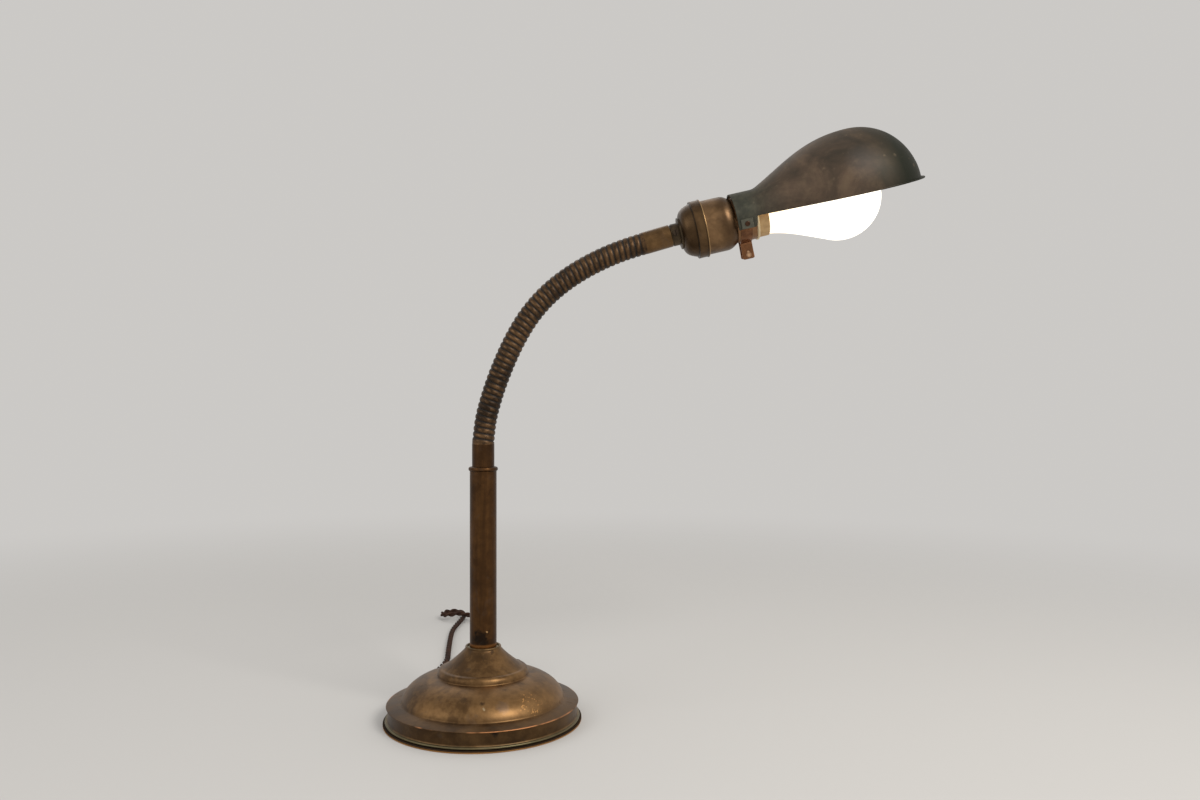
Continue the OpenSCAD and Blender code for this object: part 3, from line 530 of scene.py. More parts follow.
def rounded(points, r, steps=4):
    """A closed outline with each of its corners rounded by a radius, or less where a side is short."""
    points = [Vector(p) for p in points]
    n, found = len(points), []
    for i, p in enumerate(points):
        before, after = points[i - 1] - p, points[(i + 1) % n] - p
        cut = min(r, before.length * 0.45, after.length * 0.45)
        a, b = p + before.normalized() * cut, p + after.normalized() * cut
        found += [(1 - t) ** 2 * a + 2 * t * (1 - t) * p + t * t * b for t in (k / steps for k in range(steps + 1))]
    return found


def rectangle(width, height, r):
    """A closed outline with rounded corners, round the origin."""
    x, y = width / 2, height / 2
    return rounded([(-x, -y), (x, -y), (x, y), (-x, y)], r)


def lathe(name, line, material, basis=Matrix(), segments=96, dents=0.0, seed=0.0):
    """A closed outline of (radius, height) in mm, turned round the frame's Z; dents is their depth in mm."""
    verts = []
    for a in turns(segments):
        for r, z in line:
            r = max(r, 0)
            if dents and r > 0.01:
                r += dents * noise.noise(Vector((r * cos(a) * DENT, r * sin(a) * DENT, z * DENT + seed)))
            verts.append(at_mm(basis, r * cos(a), r * sin(a), z))
    return piece(name, verts, bands(segments, len(line), closed=True), material, 32)


def strip(name, line, end_r=1.2):
    """A part of the clip, round at its edges and corners; line is its middle line across the shade's axis."""
    gone = lengths_along(line)
    verts = []
    for i, p in enumerate(line):
        way = (line[min(i + 1, len(line) - 1)] - line[max(i - 1, 0)]).normalized()
        out = Vector((way.y, -way.x))
        short = end_r - min(gone[i], gone[-1] - gone[i], end_r)
        section = rectangle(CLIP_T, CLIP_W - 2 * end_r + 2 * sqrt(end_r ** 2 - short ** 2), 0.25)
        for q in section:
            at = p + out * q.x
            verts.append(at_mm(SHADE, at.x, at.y, CLIP_Z + CLIP_W / 2 + q.y))
    n = len(section)
    faces = bands(len(line), n) + [tuple(range(n)), tuple(range(len(verts) - n, len(verts)))]
    return piece(name, verts, faces, copper)


# ---- finishes ----
def aged_brass(name, light, middle, dark, shine, grain_way=None, specks=1.0, extra=None, depth=0.00009):
    """Spun brass gone brown: cloudy patina in three tones, dark specks, fine turning lines and rubbed places."""
    f = Finish(name)
    at = f.place()
    big = f.clouds(at, 26, 5, 0.6, 0.6)
    fine = f.clouds(at, 150, 6, 0.65)
    grit = f.clouds(at, 900, 3)
    pits = (1 - f.cells(at, 95).rise(0.10, 0.26)) * fine.rise(0.45, 0.6) * specks
    grime = f.clouds(at, 60, 6, 0.7, 1.2).rise(0.56, 0.74)
    colour = f.layers(dark, (big.rise(0.30, 0.66), middle), ((fine * 0.5 + big * 0.5).rise(0.44, 0.78), light),
                      (pits * 0.75, darker(dark, 0.22)), (grime * 0.4, darker(dark, 0.45)))
    height = fine * 0.5 + grit * 0.25 - pits * 0.8
    if grain_way:
        out = f.along(at, *grain_way)
        lines = f.clouds(f.joined(out * 2200, big * 3, fine * 0.3), 1.0, 3)
        height = height + lines * 0.2
    if extra:
        colour = extra(f, at, colour, fine)
    rough = shine + 0.16 * (fine - 0.5) + 0.18 * grime + 0.2 * pits
    return f.done(Base_Color=colour, Metallic=0.88 - 0.45 * grime.most(pits), Roughness=rough.held(),
                  Normal=f.bump(height, depth))


BRASS_LIGHT, BRASS_DARK = (156, 120, 78), (72, 52, 31)
BARE, STAIN = (214, 158, 96), (34, 26, 20)
BASE_MARKS = [((5.2, -49.9, 25.8), 2.6, 0.7, STAIN), ((6.4, -52.9, 23.2), 1.4, 0.8, (166, 148, 118)),
              ((19, -35.1, 30.7), 2.4, 0.5, STAIN), ((19, -49.2, 23.6), 6.5, 0.3, (92, 84, 82)),
              ((15.5, -65.2, 11.2), 3.2, 0.9, STAIN), ((7.5, -10.9, 50.2), 2.4, 0.6, STAIN),
              ((-7.5, -47, 27), 3.2, 0.4, STAIN), ((-24, -41, 27), 4, 0.35, STAIN), ((44, 31, 22), 5, 0.5, STAIN),
              ((-30, 38, 27), 3, 0.5, STAIN), ((12, 52, 24), 3.5, 0.45, STAIN), ((-52, 8, 21), 4, 0.4, STAIN)]
RUBBED_SPOTS = [((36.5, -38.5, 22.6), 12), ((-48, 22, 23), 9), ((20, 50, 23), 8)]
RIM_R, RIM_Z, SEAM_R, SEAM_Z, HEM_Z = 0.067, 0.0128, 0.0578, 0.0158, 0.0046
SOLDER, SPECK = (-0.0012, -0.0095, 0.0588), (0.0037, -0.0088, 0.0638)


def base_wear_and_shade(f, at, colour, fine):
    """Bright rubbed edge on the flange, brighter towards the front right as a painted highlight; green on the hem;
    dark in the seams; painted shade below the flange and under the hem's curl.
    """
    up = f.along(at, (0, 0, 1))
    out = f.from_axis(at)
    rubbed = f.clouds(f.stretched(at, (1, 1, 0)), 34, 3)
    # painted highlight: this ramp brightens the flange's edge towards the front right, the lit side
    held = f.along(at, (0.8, -0.6, 0)).rise(0.002, 0.03) * 0.12
    edge = up.band(RIM_Z, 0.0005) * out.rise(RIM_R, 0.0677) * (rubbed + held).rise(0.55, 0.63)
    # painted shade on the recessed wall below the flange
    under = up.rise(0.0125, 0.0118) * up.rise(0.0035, 0.0045)
    flange = out.rise(0.0574, 0.0584) * up.rise(0.0165, 0.0145) * up.rise(0.0122, 0.0127)
    hem = up.rise(HEM_Z, 0.0036) * out.rise(RIM_R, 0.068)
    # painted shade: near black under the hem's curl, at the very bottom
    hem_curl_shade = up.rise(0.0022, 0.0017)
    foot = out.rise(0.0128, 0.0116) * up.rise(0.047, 0.05)
    seam = out.band(SEAM_R, 0.0012) * up.band(SEAM_Z, 0.003)
    torn = f.ragged(at, 420, 0.0011)
    flecks = f.clouds(at, 640, 2).rise(0.60, 0.66)
    colour = f.layers(colour, (under * 0.62, darker(BRASS_DARK, 0.42)), (flange * 0.55, darker(BRASS_DARK, 0.6)),
                      (seam * 0.35, BRASS_DARK))
    for mark, reach, depth, tone in BASE_MARKS:
        spot = f.near(torn, tuple(p * MM for p in mark), reach * MM)
        colour = f.mixed(spot.rise(0.15, 0.6) * depth, colour, tone)
    for place, reach in RUBBED_SPOTS:
        spot = f.near(torn, tuple(p * MM for p in place), reach * MM)
        colour = f.layers(colour, (spot * 0.4, BRASS_LIGHT), (spot.rise(0.1, 0.5) * flecks * 0.9, BARE))
    return f.layers(
        colour, (hem * 0.7, f.mixed(fine, (92, 88, 64), (124, 120, 92))), (hem_curl_shade * 0.9, (14, 11, 8)),
        (foot * 0.6, (118, 112, 84)), (edge * 0.9, (214, 146, 96)))


brass_base = aged_brass("base_brass", BRASS_LIGHT, (116, 86, 53), BRASS_DARK, 0.42, ((0, 0, 1),), 0.6, base_wear_and_shade)


def stem_wear(f, at, colour, fine):
    """Dark soldered patch near the foot and long brown streaks."""
    streak = f.clouds(f.stretched(at, (330, 330, 22)), 1.0, 5, 0.6)
    solder = f.near(f.ragged(at, 300, 0.0034), SOLDER, 0.0092).rise(0.2, 0.62) * (0.55 + 0.7 * fine)
    speck = f.near(f.ragged(at, 900, 0.0004), SPECK, 0.0012).rise(0.2, 0.6)
    foot = f.along(at, (0, 0, 1)).rise(0.0550, 0.0535)
    return f.layers(
        colour, (streak.rise(0.40, 0.66) * 0.7, (60, 39, 20)), (solder.held() * 0.92, (24, 18, 13)),
        (speck, (184, 146, 98)), (foot * 0.7, (150, 98, 48)))


def cap_seams_and_highlight(f, at, colour, fine):
    """A dark line where the dome turns into the skirt, and a painted highlight along the skirt's lip."""
    way = f.along(at, *FROM_HUB)
    return f.layers(
        colour, (way.rise(0.0174, 0.0156) * 0.4, (46, 32, 18)),
        (way.band(0.0167, 0.0009) * 0.8, (24, 18, 12)), (way.band(0.0232, 0.0006) * 0.5, (36, 28, 19)),
        # painted highlight: the skirt's lip, past 23.6 mm along the axis, brightened all round
        (way.rise(0.0236, 0.0240) * 0.8, (186, 150, 104)))


def shell_tones_and_glow(f, at, colour, fine):
    """A painted glow of the lit bulb as pale cream on the mouth's bead, a copper tone in the throat, and darker
    towards it.
    """
    way = f.along(at, *FROM_HUB)
    return f.layers(
        colour, (way.rise(0.032, 0.0385) * (0.35 + 0.3 * fine), (58, 42, 28)),
        (way.rise(0.0455, 0.0465), f.mixed(fine, (116, 84, 58), (150, 112, 78))),
        # painted light: the mouth's bead is made pale cream where the lit bulb shines on it
        (way.rise(0.0594, 0.0600), f.mixed(fine, (232, 214, 178), (206, 182, 140))))


def tab_reflection_paint(f, at, colour, fine):
    """A painted reflection of the bulb near the ends of the hanging tabs: a bright glint with a darker rim round it.
    """
    torn = f.ragged(at, 420, 0.0005)
    for tab in TAB_GLINTS:
        spot = f.near(torn, tab, 0.0030).most(f.near(torn, tuple(Vector(tab) - DOWN * 0.0022), 0.0018))
        # painted reflection: a darker rim, then the bright glint
        colour = f.layers(colour, (spot.rise(0.0, 0.3) * 0.5, (78, 48, 32)),
                          (spot.rise(0.25, 0.95) * 0.8, (232, 190, 150)))
    return colour


brass_stem = aged_brass("stem_brass", (106, 73, 39), (79, 52, 26), (51, 33, 16), 0.40, None, 0.5, stem_wear)
brass_socket = aged_brass("socket_brass", (148, 116, 82), (116, 89, 61), (84, 63, 42), 0.36, FROM_HUB, 0.4,
                          shell_tones_and_glow, 0.00004)
brass_cap = aged_brass("cap_brass", (116, 90, 60), (88, 66, 42), (58, 43, 27), 0.36, FROM_HUB, 0.5, cap_seams_and_highlight, 0.00004)
brass_sleeve = aged_brass("sleeve_brass", (132, 101, 66), (101, 76, 47), (70, 51, 32), 0.36, specks=0.3)
brass_neck = aged_brass("hub_brass", (104, 88, 66), (76, 63, 47), (44, 36, 27), 0.45)
copper = aged_brass("copper_strip", (170, 118, 80), (120, 80, 51), (72, 47, 32), 0.26, None, 0.4, tab_reflection_paint, 0.00004)
dark_rivet = aged_brass("dark_rivet", (96, 66, 46), (64, 44, 32), (36, 26, 20), 0.34, specks=0.4)
bright_brass = aged_brass("contact_brass", (206, 170, 104), (176, 140, 80), (132, 100, 56), 0.3, specks=0.2)


def worn_neck():
    """Dark bronze turns, warm where they are rubbed, black in the grooves; groove is 1 at a groove's bottom."""
    f = Finish("neck_bronze")
    at = f.place()
    groove = f.value("ShaderNodeAttribute", {"attribute_name": "groove"}, out="Fac")
    big = f.clouds(at, 60, 4, 0.6)
    fine = f.clouds(at, 260, 5, 0.6)
    crest = groove.rise(0.30, 0.0) * (fine * 0.6 + big * 0.4).rise(0.44, 0.62)
    colour = f.layers((47, 35, 24), (big.rise(0.38, 0.64), (74, 56, 38)),
                      (crest * 0.8, (122, 91, 60)), (groove.rise(0.35, 0.85), (20, 15, 10)))
    rough = 0.40 + 0.25 * groove + 0.15 * (fine - 0.5)
    return f.done(Base_Color=colour, Metallic=0.85 - 0.5 * groove.rise(0.3, 0.8), Roughness=rough,
                  Normal=f.bump(fine, 0.00008))


def shade_paint():
    """Dark grey-green and brown patina, cooler at the collar, darker at the tip, with fine rubs and a painted sheen
    on the near side.
    """
    f = Finish("shade_patina")
    at = f.place()
    way = f.along(at, *FROM_HUB)
    big = f.clouds(at, 30, 5, 0.62, 0.8)
    fine = f.clouds(at, 190, 6, 0.65)
    grit = f.clouds(at, 1100, 3)
    pits = (1 - f.cells(at, 120).rise(0.06, 0.2)) * fine.rise(0.5, 0.62)
    collar = f.mixed(fine.rise(0.4, 0.65), (53, 54, 47), (71, 70, 59))
    colour = f.layers(
        (60, 53, 45), (big.rise(0.36, 0.64), (90, 74, 61)),
        ((fine * 0.5 + big * 0.5).rise(0.5, 0.66) * 0.6, (104, 88, 70)),
        (f.near(at, SHEEN, 0.016) * 0.35, (112, 108, 106)), (way.rise(0.082, 0.056), collar),
        ((way.rise(0.128, 0.160) * (0.75 + 0.45 * big)).held(), (27, 30, 21)),
        (pits * 0.5, (128, 112, 90)))
    return f.done(Base_Color=colour, Metallic=0.3, Roughness=0.50 + 0.2 * (fine - 0.5), Specular_IOR_Level=0.3,
                  Specular_Tint=(0.6, 0.56, 0.5), Normal=f.bump(fine * 0.6 + grit * 0.2, 0.00008))


def shade_lining():
    """Dull aluminium paint inside the shade, warm with age."""
    f = Finish("shade_lining")
    at = f.place()
    big = f.clouds(at, 35, 5, 0.6, 0.5)
    fine = f.clouds(at, 420, 4)
    colour = f.mixed(big.rise(0.35, 0.7), (212, 204, 186), (182, 168, 140))
    return f.done(Base_Color=colour, Metallic=0.25, Roughness=0.42 + 0.2 * fine, Normal=f.bump(fine, 0.00008))


BULB_GLOW = 1.7


def lit_glass():
    """Opal glass with the lamp on."""
    f = Finish("opal_lit")
    at = f.place()
    way = f.along(at, *FROM_HUB)
    haze = f.clouds(at, 40, 2)
    colour = f.mixed(way.rise(0.072, 0.095), (255, 226, 178), (255, 248, 232))
    return f.done(Base_Color=f.mixed(haze, (244, 240, 230), (252, 250, 244)), Roughness=0.16 + 0.06 * haze,
                  Emission_Color=colour, Emission_Strength=BULB_GLOW, Coat_Weight=0.3)


def plain(name, one, other, rough, metal=0.0, scale=120.0, depth=0.00006):
    """A finish with clouds of two tones, fine bumps and a varying roughness."""
    f = Finish(name)
    at = f.place()
    cloud = f.clouds(at, scale, 5, 0.6)
    fine = f.clouds(at, scale * 6, 3)
    return f.done(Base_Color=f.mixed(cloud.rise(0.25, 0.75), one, other), Metallic=metal,
                  Roughness=rough + 0.16 * (fine - 0.5), Normal=f.bump(fine, depth))


def felt_cloth():
    """Tan felt, with painted shade on top and inside its edge, where the base sits over it."""
    f = Finish("felt")
    at = f.place()
    fibres = f.clouds(f.stretched(at, (1, 1, 2)), 1400, 4, 0.7, 1.5)
    cloud = f.clouds(at, 70, 4)
    # painted shade on the felt that lies under the base's hem
    felt_under_base_shade = f.from_axis(at).rise(0.07012, 0.06996).most(f.along(at, (0, 0, 1)).rise(0.0006, 0.0009))
    colour = f.layers((128, 86, 44), (fibres.rise(0.35, 0.65), (176, 128, 74)),
                      (cloud.rise(0.4, 0.7) * 0.5, (104, 72, 40)), (felt_under_base_shade * 0.92, (22, 16, 11)))
    return f.done(Base_Color=colour, Roughness=0.9 + 0.08 * fibres, Normal=f.bump(fibres, 0.0003),
                  Specular_IOR_Level=0.2)


bronze_turns = worn_neck()
patina = shade_paint()
lining = shade_lining()
opal = lit_glass()
felt = felt_cloth()
steel = plain("plain_steel", (150, 150, 148), (108, 106, 102), 0.38, 1.0, 180)
dull_steel = plain("oiled_steel", (96, 92, 84), (60, 56, 50), 0.5, 0.9, 120)
iron = plain("cast_iron", (52, 50, 48), (34, 32, 31), 0.75, 0.5, 240, 0.0005)
fibre_ring = plain("tan_fibre", (206, 172, 122), (168, 132, 86), 0.62, 0.0, 240, 0.00012)
china = plain("white_china", (232, 230, 222), (214, 210, 198), 0.2, 0.0, 60)
stem_glass = plain("stem_glass", (236, 240, 240), (220, 226, 226), 0.08, 0.0, 60)
brown_plastic = plain("brown_plastic", (40, 28, 22), (58, 42, 32), 0.3, 0.0, 90)
screw_metal = plain("dark_screw", (70, 56, 42), (38, 30, 23), 0.46, 0.8, 300)
plate_patina = plain("plate_patina", (92, 90, 76), (64, 64, 54), 0.42, 0.35, 260, 0.0001)


def finish_nodes(material, *names):
    """Gives kept solids their finish."""
    for name in names:
        mesh = nodes[name].data
        mesh.materials.clear()
        mesh.materials.append(material)


finish_nodes(felt, "base_pad")
finish_nodes(iron, "base_weight")
finish_nodes(dull_steel, "base_nut", "base_washer", "base_nipple", "stem_foot", "hub_nut")
finish_nodes(brass_stem, "stem_tube", "stem_collar", "lower_sleeve")
finish_nodes(brass_sleeve, "upper_sleeve")
finish_nodes(brass_neck, "hub_collar")
finish_nodes(screw_metal, "hub_screw")
finish_nodes(fibre_ring, "cap_liner", "shell_liner")
finish_nodes(china, "socket_core")
finish_nodes(bright_brass, "screw_shell", "centre_contact", "bulb_base")
finish_nodes(steel, "terminal_screws", "key_spindle", "plug_blades", "bulb_filament")
finish_nodes(cord_finish, "inner_lead", "socket_wires")
finish_nodes(brown_plastic, "turn_key", "bulb_contact", "cord_bushing", "plug_relief", "plug_body")
finish_nodes(stem_glass, "bulb_stem")


# ---- the neck: a wound skin and the lead in it, one piece for each bend ----
FINE = 60
line_points = smooth_path(JOINTS, FINE)
line_gone = lengths_along(line_points)
NECK_LENGTH = line_gone[-1]
RIBS, RIB_RINGS, GROOVE, FADE_PAST, FADE_L = 48, 12, 0.85, 1.6, 3.0
PITCH = NECK_LENGTH / RIBS
BOW = ((PITCH / 2) ** 2 + GROOVE ** 2) / (2 * GROOVE)
SKIN_R, SKIN_BORE, SKIN_SIDES, WIRES_R, WIRES_SIDES = NECK_R - 0.04, 5.6, 48, 2.2, 12


def neck_at(s):
    """Point and direction at s mm along the neck's line; it runs on straight at both ends."""
    if s <= 0:
        return line_points[0] + s * Vector((0, 0, 1)), Vector((0, 0, 1))
    if s >= NECK_LENGTH:
        return line_points[-1] + (s - NECK_LENGTH) * NECK_END_WAY, NECK_END_WAY
    k = min(range(len(line_gone) - 1), key=lambda i: abs(line_gone[i] + line_gone[i + 1] - 2 * s))
    share = (s - line_gone[k]) / (line_gone[k + 1] - line_gone[k])
    here = line_points[k].lerp(line_points[k + 1], share)
    before = (line_points[k + 1] - line_points[max(k - 1, 0)]).normalized()
    after = (line_points[min(k + 2, len(line_points) - 1)] - line_points[k]).normalized()
    return here, before.lerp(after, share).normalized()


def rib(s, angle):
    """Radius and groove share of the wound skin; the winding fades into the sleeves at both ends."""
    phase = (s / PITCH + angle / (2 * pi)) % 1
    x = (2 * phase - 1) * PITCH / 2
    drop = BOW - sqrt(BOW ** 2 - x ** 2)
    fade = ease((s + FADE_PAST) / FADE_L) * ease((NECK_LENGTH + FADE_PAST - s) / FADE_L)
    return SKIN_R - drop * fade, drop / GROOVE * fade


def neck_rings(s0, s1, rings, sides):
    """For each point of rings from s0 to s1: its s and angle, the neck's middle and way there, and the way out."""
    for i in range(rings + 1):
        s = s0 + (s1 - s0) * i / rings
        here, way = neck_at(s)
        up = Vector((-way.z, 0, way.x))
        for a in turns(sides):
            yield s, a, here, way, cos(a) * FAR + sin(a) * up


def neck_object(name, verts, faces, depth, normals, material):
    """An object with its own normals and with each point's depth in the groove."""
    made = placed(name, bare_mesh(name, verts, faces), material, 60)
    made.data.attributes.new("groove", "FLOAT", "POINT").data.foreach_set("value", depth)
    made.data.normals_split_custom_set_from_vertices([tuple(n) for n in normals])
    return made


def neck_skin(name, s0, s1, step=0.05):
    """The ribbed tube from s0 to s1; step is how far apart the ribs' slope is measured."""
    rings, sides, bore_rings = round((s1 - s0) / PITCH * RIB_RINGS), SKIN_SIDES, 8
    verts, depth, normals = [], [], []
    for s, a, here, way, out in neck_rings(s0, s1, rings, sides):
        r, groove = rib(s, a)
        slope = (rib(s + step, a)[0] - rib(s - step, a)[0]) / (2 * step)
        verts.append((here + r * out) * MM)
        depth.append(groove)
        normals.append((out - slope * way).normalized())
    last, start = rings * sides, len(verts)
    for s, a, here, way, out in neck_rings(s0, s1, bore_rings, sides):
        verts.append((here + SKIN_BORE * out) * MM)
        depth.append(1)
        normals.append(-out)
    faces = bands(rings + 1, sides)
    faces += [(b, a, d, c) for a, b, c, d in bands(bore_rings + 1, sides, start)]
    end = start + bore_rings * sides
    for k in range(sides):
        m = (k + 1) % sides
        faces += [(m, k, start + k, start + m), (last + k, last + m, end + m, end + k)]
    return neck_object(name, verts, faces, depth, normals, bronze_turns)


def neck_wires(name, s0, s1, rings=8):
    """The two wires as one round lead from s0 to s1."""
    points = list(neck_rings(s0, s1, rings, WIRES_SIDES))
    verts = [(here + WIRES_R * out) * MM for s, a, here, way, out in points]
    faces = bands(rings + 1, WIRES_SIDES) + [tuple(range(WIRES_SIDES))[::-1],
                                             tuple(rings * WIRES_SIDES + k for k in range(WIRES_SIDES))]
    return neck_object(name, verts, faces, [0] * len(verts), [out for *_, out in points], cord_finish)


LINKS = len(BENDS)
joint_s = [line_gone[i * FINE] for i in range(len(JOINTS))]
for j in range(len(JOINTS)):
    s0 = -RIB_GAP if j == 0 else (joint_s[j - 1] + joint_s[j]) / 2
    s1 = NECK_LENGTH + RIB_GAP if j == len(JOINTS) - 1 else (joint_s[j] + joint_s[j + 1]) / 2
    skin = neck_skin(f"neck_turns_{j + 1:02d}", s0, s1)
    wires = neck_wires(f"neck_wires_{j + 1:02d}", s0, s1)
    start, end = neck_at(s0)[0] * MM, neck_at(s1)[0] * MM
    for made, slot in ((skin, "bronze"), (wires, "cord")):
        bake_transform(made)
    if j < LINKS:
        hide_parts(f"neck_link_{j + 1:02d}")
    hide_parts("neck_lead")


# ---- base ----
HEM_R, FLANGE_R, FLANGE_Z, DOME_R, DOME_Z, RIDGE_R, LIP_R = 68.9, 68.1, 13, 57.8, 32.2, 32.4, 12.7
WALL_R = FLANGE_R - 1.1
ridge_top = (RIDGE_R - 2.9, DOME_Z + 5)
base_outline = outline(
    arc((HEM_R - 0.9, 2.5), 0.9, -90, 60, 10),
    curve((WALL_R + 0.5, 3.4), (WALL_R + 0.1, 3.7), (WALL_R, 4), (WALL_R, 4.6), 3),
    (WALL_R, FLANGE_Z - 1.5),
    curve((WALL_R, FLANGE_Z - 1.1), (WALL_R + 0.1, FLANGE_Z - 0.8), (FLANGE_R - 0.6, FLANGE_Z - 0.8),
          (FLANGE_R - 0.25, FLANGE_Z - 0.7), 3),
    arc((FLANGE_R - 0.3, FLANGE_Z - 0.35), 0.3, -60, 80, 5),
    curve((DOME_R + 1.1, FLANGE_Z + 1.9), (DOME_R, FLANGE_Z + 2.1), (DOME_R - 0.2, FLANGE_Z + 2.4),
          (DOME_R - 0.4, FLANGE_Z + 3.3), 5),
    curve((DOME_R - 0.6, FLANGE_Z + 4), (DOME_R - 3.2, FLANGE_Z + 11.8), (RIDGE_R + 12.6, DOME_Z - 1.7),
          (RIDGE_R + 1.4, DOME_Z - 0.15), 30),
    curve((RIDGE_R + 0.9, DOME_Z - 0.05), (RIDGE_R + 0.3, DOME_Z), (RIDGE_R + 0.1, DOME_Z + 0.2),
          (RIDGE_R, DOME_Z + 0.7), 4),
    curve((RIDGE_R, DOME_Z + 1), (RIDGE_R - 0.05, DOME_Z + 2.9), (RIDGE_R - 1, DOME_Z + 4.75), ridge_top, 12),
    curve((ridge_top[0] - 1.1, ridge_top[1] + 0.12), (ridge_top[0] - 4.5, ridge_top[1] + 2.4),
          (LIP_R + 3.8, BASE_LIP - 5.6), (LIP_R + 0.35, BASE_LIP - 1.4), 22),
    curve((LIP_R + 0.1, BASE_LIP - 1), (LIP_R, BASE_LIP - 0.8), (LIP_R, BASE_LIP - 0.6), (LIP_R, BASE_LIP - 0.2), 3),
    arc((LIP_R - 0.8, BASE_LIP), 0.8, 10, 180, 9),
    # inside
    (11.0, BASE_LIP - 0.4), (5.6, BASE_LIP - 0.4), (5.6, BASE_LIP - 1.1), (11.4, BASE_LIP - 1.5),
    (LIP_R + 3.2, BASE_LIP - 6.9), (RIDGE_R - 12, DOME_Z + 9.6), (RIDGE_R - 5, DOME_Z + 4),
    (RIDGE_R - 1.4, DOME_Z + 1.2), (RIDGE_R - 1, DOME_Z - 1.1), (RIDGE_R + 8, DOME_Z - 2.6),
    (DOME_R - 8.4, DOME_Z - 8.3), (DOME_R - 2.6, FLANGE_Z + 4.6), (DOME_R - 1.6, FLANGE_Z + 1.2),
    (WALL_R - 1.1, FLANGE_Z - 1.4), (WALL_R - 1.1, 4.4), (HEM_R - 2.6, 1.6))
spun_base = lathe("spun_base", base_outline, brass_base, segments=180, dents=0.16, seed=3.0)
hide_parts("base_shell")
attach(spun_base, "base")


# ---- socket ----
cap_outline = outline(
    (5.2, CAP_Z + 0.8), (5.2, CAP_Z),
    curve((11.5, CAP_Z), (16.6, CAP_Z + 1.4), (17.1, CAP_Z + 4.2), (18.95, SKIRT_Z - 0.6), 20),
    curve((19.05, SKIRT_Z - 0.3), (19.15, SKIRT_Z), (19.4, SKIRT_Z), (19.8, SKIRT_Z), 3),
    arc((SKIRT_R - 0.45, SKIRT_Z + 0.45), 0.45, -80, 0, 4),
    (SKIRT_R - 0.12, SKIRT_Z + 3), (SKIRT_R - 0.08, SKIRT_Z + SKIRT_L - 1.6),
    arc((SKIRT_R - 0.2, SKIRT_Z + SKIRT_L - 0.6), 0.6, -60, 90, 7),
    (19.5, SHELL_Z), (19.5, 18.1), (18.3, 17.7),
    curve((18.1, SKIRT_Z - 0.2), (16.3, CAP_Z + 4.6), (16, CAP_Z + 2.2), (10.7, CAP_Z + 0.8), 12))
spun_cap = lathe("spun_cap", cap_outline, brass_cap, HEAD, 128, dents=0.06, seed=8.0)
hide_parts("socket_cap")


def shell_line(inward, steps):
    """From the skirt to the throat, inward by the sheet's thickness for the inner side."""
    r, t = SHELL_R - inward, THROAT_R - inward
    return outline((r, SHELL_Z - 4.6), (r, SHELL_Z + 2), (r, SHELL_Z + 8),
                   curve((r, SHOULDER_Z), (r, SHOULDER_Z + 3.8), (t + 1.4, SHOULDER_Z + 5.9), (t, THROAT_Z), steps))


THREAD_PITCH, THREAD_END = 2.1, MOUTH_Z - 5


def throat_thread():
    """The throat's rolled thread, as one ring for each turn."""
    found, z = [], THROAT_Z + 1
    while z < THREAD_END:
        found += outline((THROAT_R, z), (THROAT_R + 0.22, z + 0.7), (THROAT_R, z + 1.4))
        z += THREAD_PITCH
    return found


shell_outline = outline(
    shell_line(0, 18), throat_thread(), (THROAT_R, MOUTH_Z - 2.6),
    arc((THROAT_R - 0.4, MOUTH_Z - 1.2), 1.2, -65, 90, 9),
    (THROAT_R - 0.6, MOUTH_Z - 0.1), shell_line(0.6, 10)[::-1])
spun_shell = lathe("spun_shell", shell_outline, brass_socket, HEAD, 128, dents=0.05, seed=21.0)
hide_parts("socket_shell")
for made in (spun_cap, spun_shell):
    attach(made, "socket")


# ---- bulb ----
BULB_R, BULB_L, BULB_SUNK = 30, 85, 1.2
BALL_Z = LINER_END + BULB_L - BULB_SUNK - BULB_R


def glass_line(inward):
    """From the neck to the tip, inward by the glass's thickness for the inner side."""
    r, neck, low = BULB_R - inward, 13.4 - inward, radians(-26)
    return (curve((neck, LINER_END - 3), (neck + 1.6, LINER_END + 12), (BULB_R * 0.62, LINER_END + 20),
                  (r * cos(low), BALL_Z + r * sin(low)), 24)
            + arc((0, BALL_Z), r, -21, 90, 30))


globe = lathe("bulb_globe", glass_line(0) + glass_line(0.8)[::-1], opal, HEAD)
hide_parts("bulb_glass")
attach(globe, "bulb")


# ---- shade ----
def shade_line(inward):
    """(radius, height) of the spun half pear from its collar to where the cut edge meets the tip."""
    r, c = SHADE_R - inward, COLLAR_R - inward
    top = COLLAR_Z + COLLAR_L
    points = [Vector((c, COLLAR_Z + k * (COLLAR_L - 1.6) / 14)) for k in range(15)]
    points += curve((c, top - 0.8), (c, top + 0.8), (c + 0.2, COLLAR_Z + 17.6), (c + 0.7, COLLAR_Z + 18.9), 4)
    points += curve((c + 1, COLLAR_Z + 19.6), (c + 13.3, COLLAR_Z + 44), (r, WIDE_Z - 31), (r, WIDE_Z), 34)
    for i in range(1, 41):
        a = radians(90 * i / 40)
        points.append(Vector((max(r * cos(a), CUT_LIFT), WIDE_Z + (TIP_L - inward) * sin(a))))
    return points


def ear_edge(r, z):
    """The angle where the sheet ends, past the near end of the half turn, in radians."""
    cut = -asin(min(CUT_LIFT / r, 1))
    return cut + (radians(EAR_DROP) - cut) * ease((EAR_TOP + 0.7 - z) / 1.4)


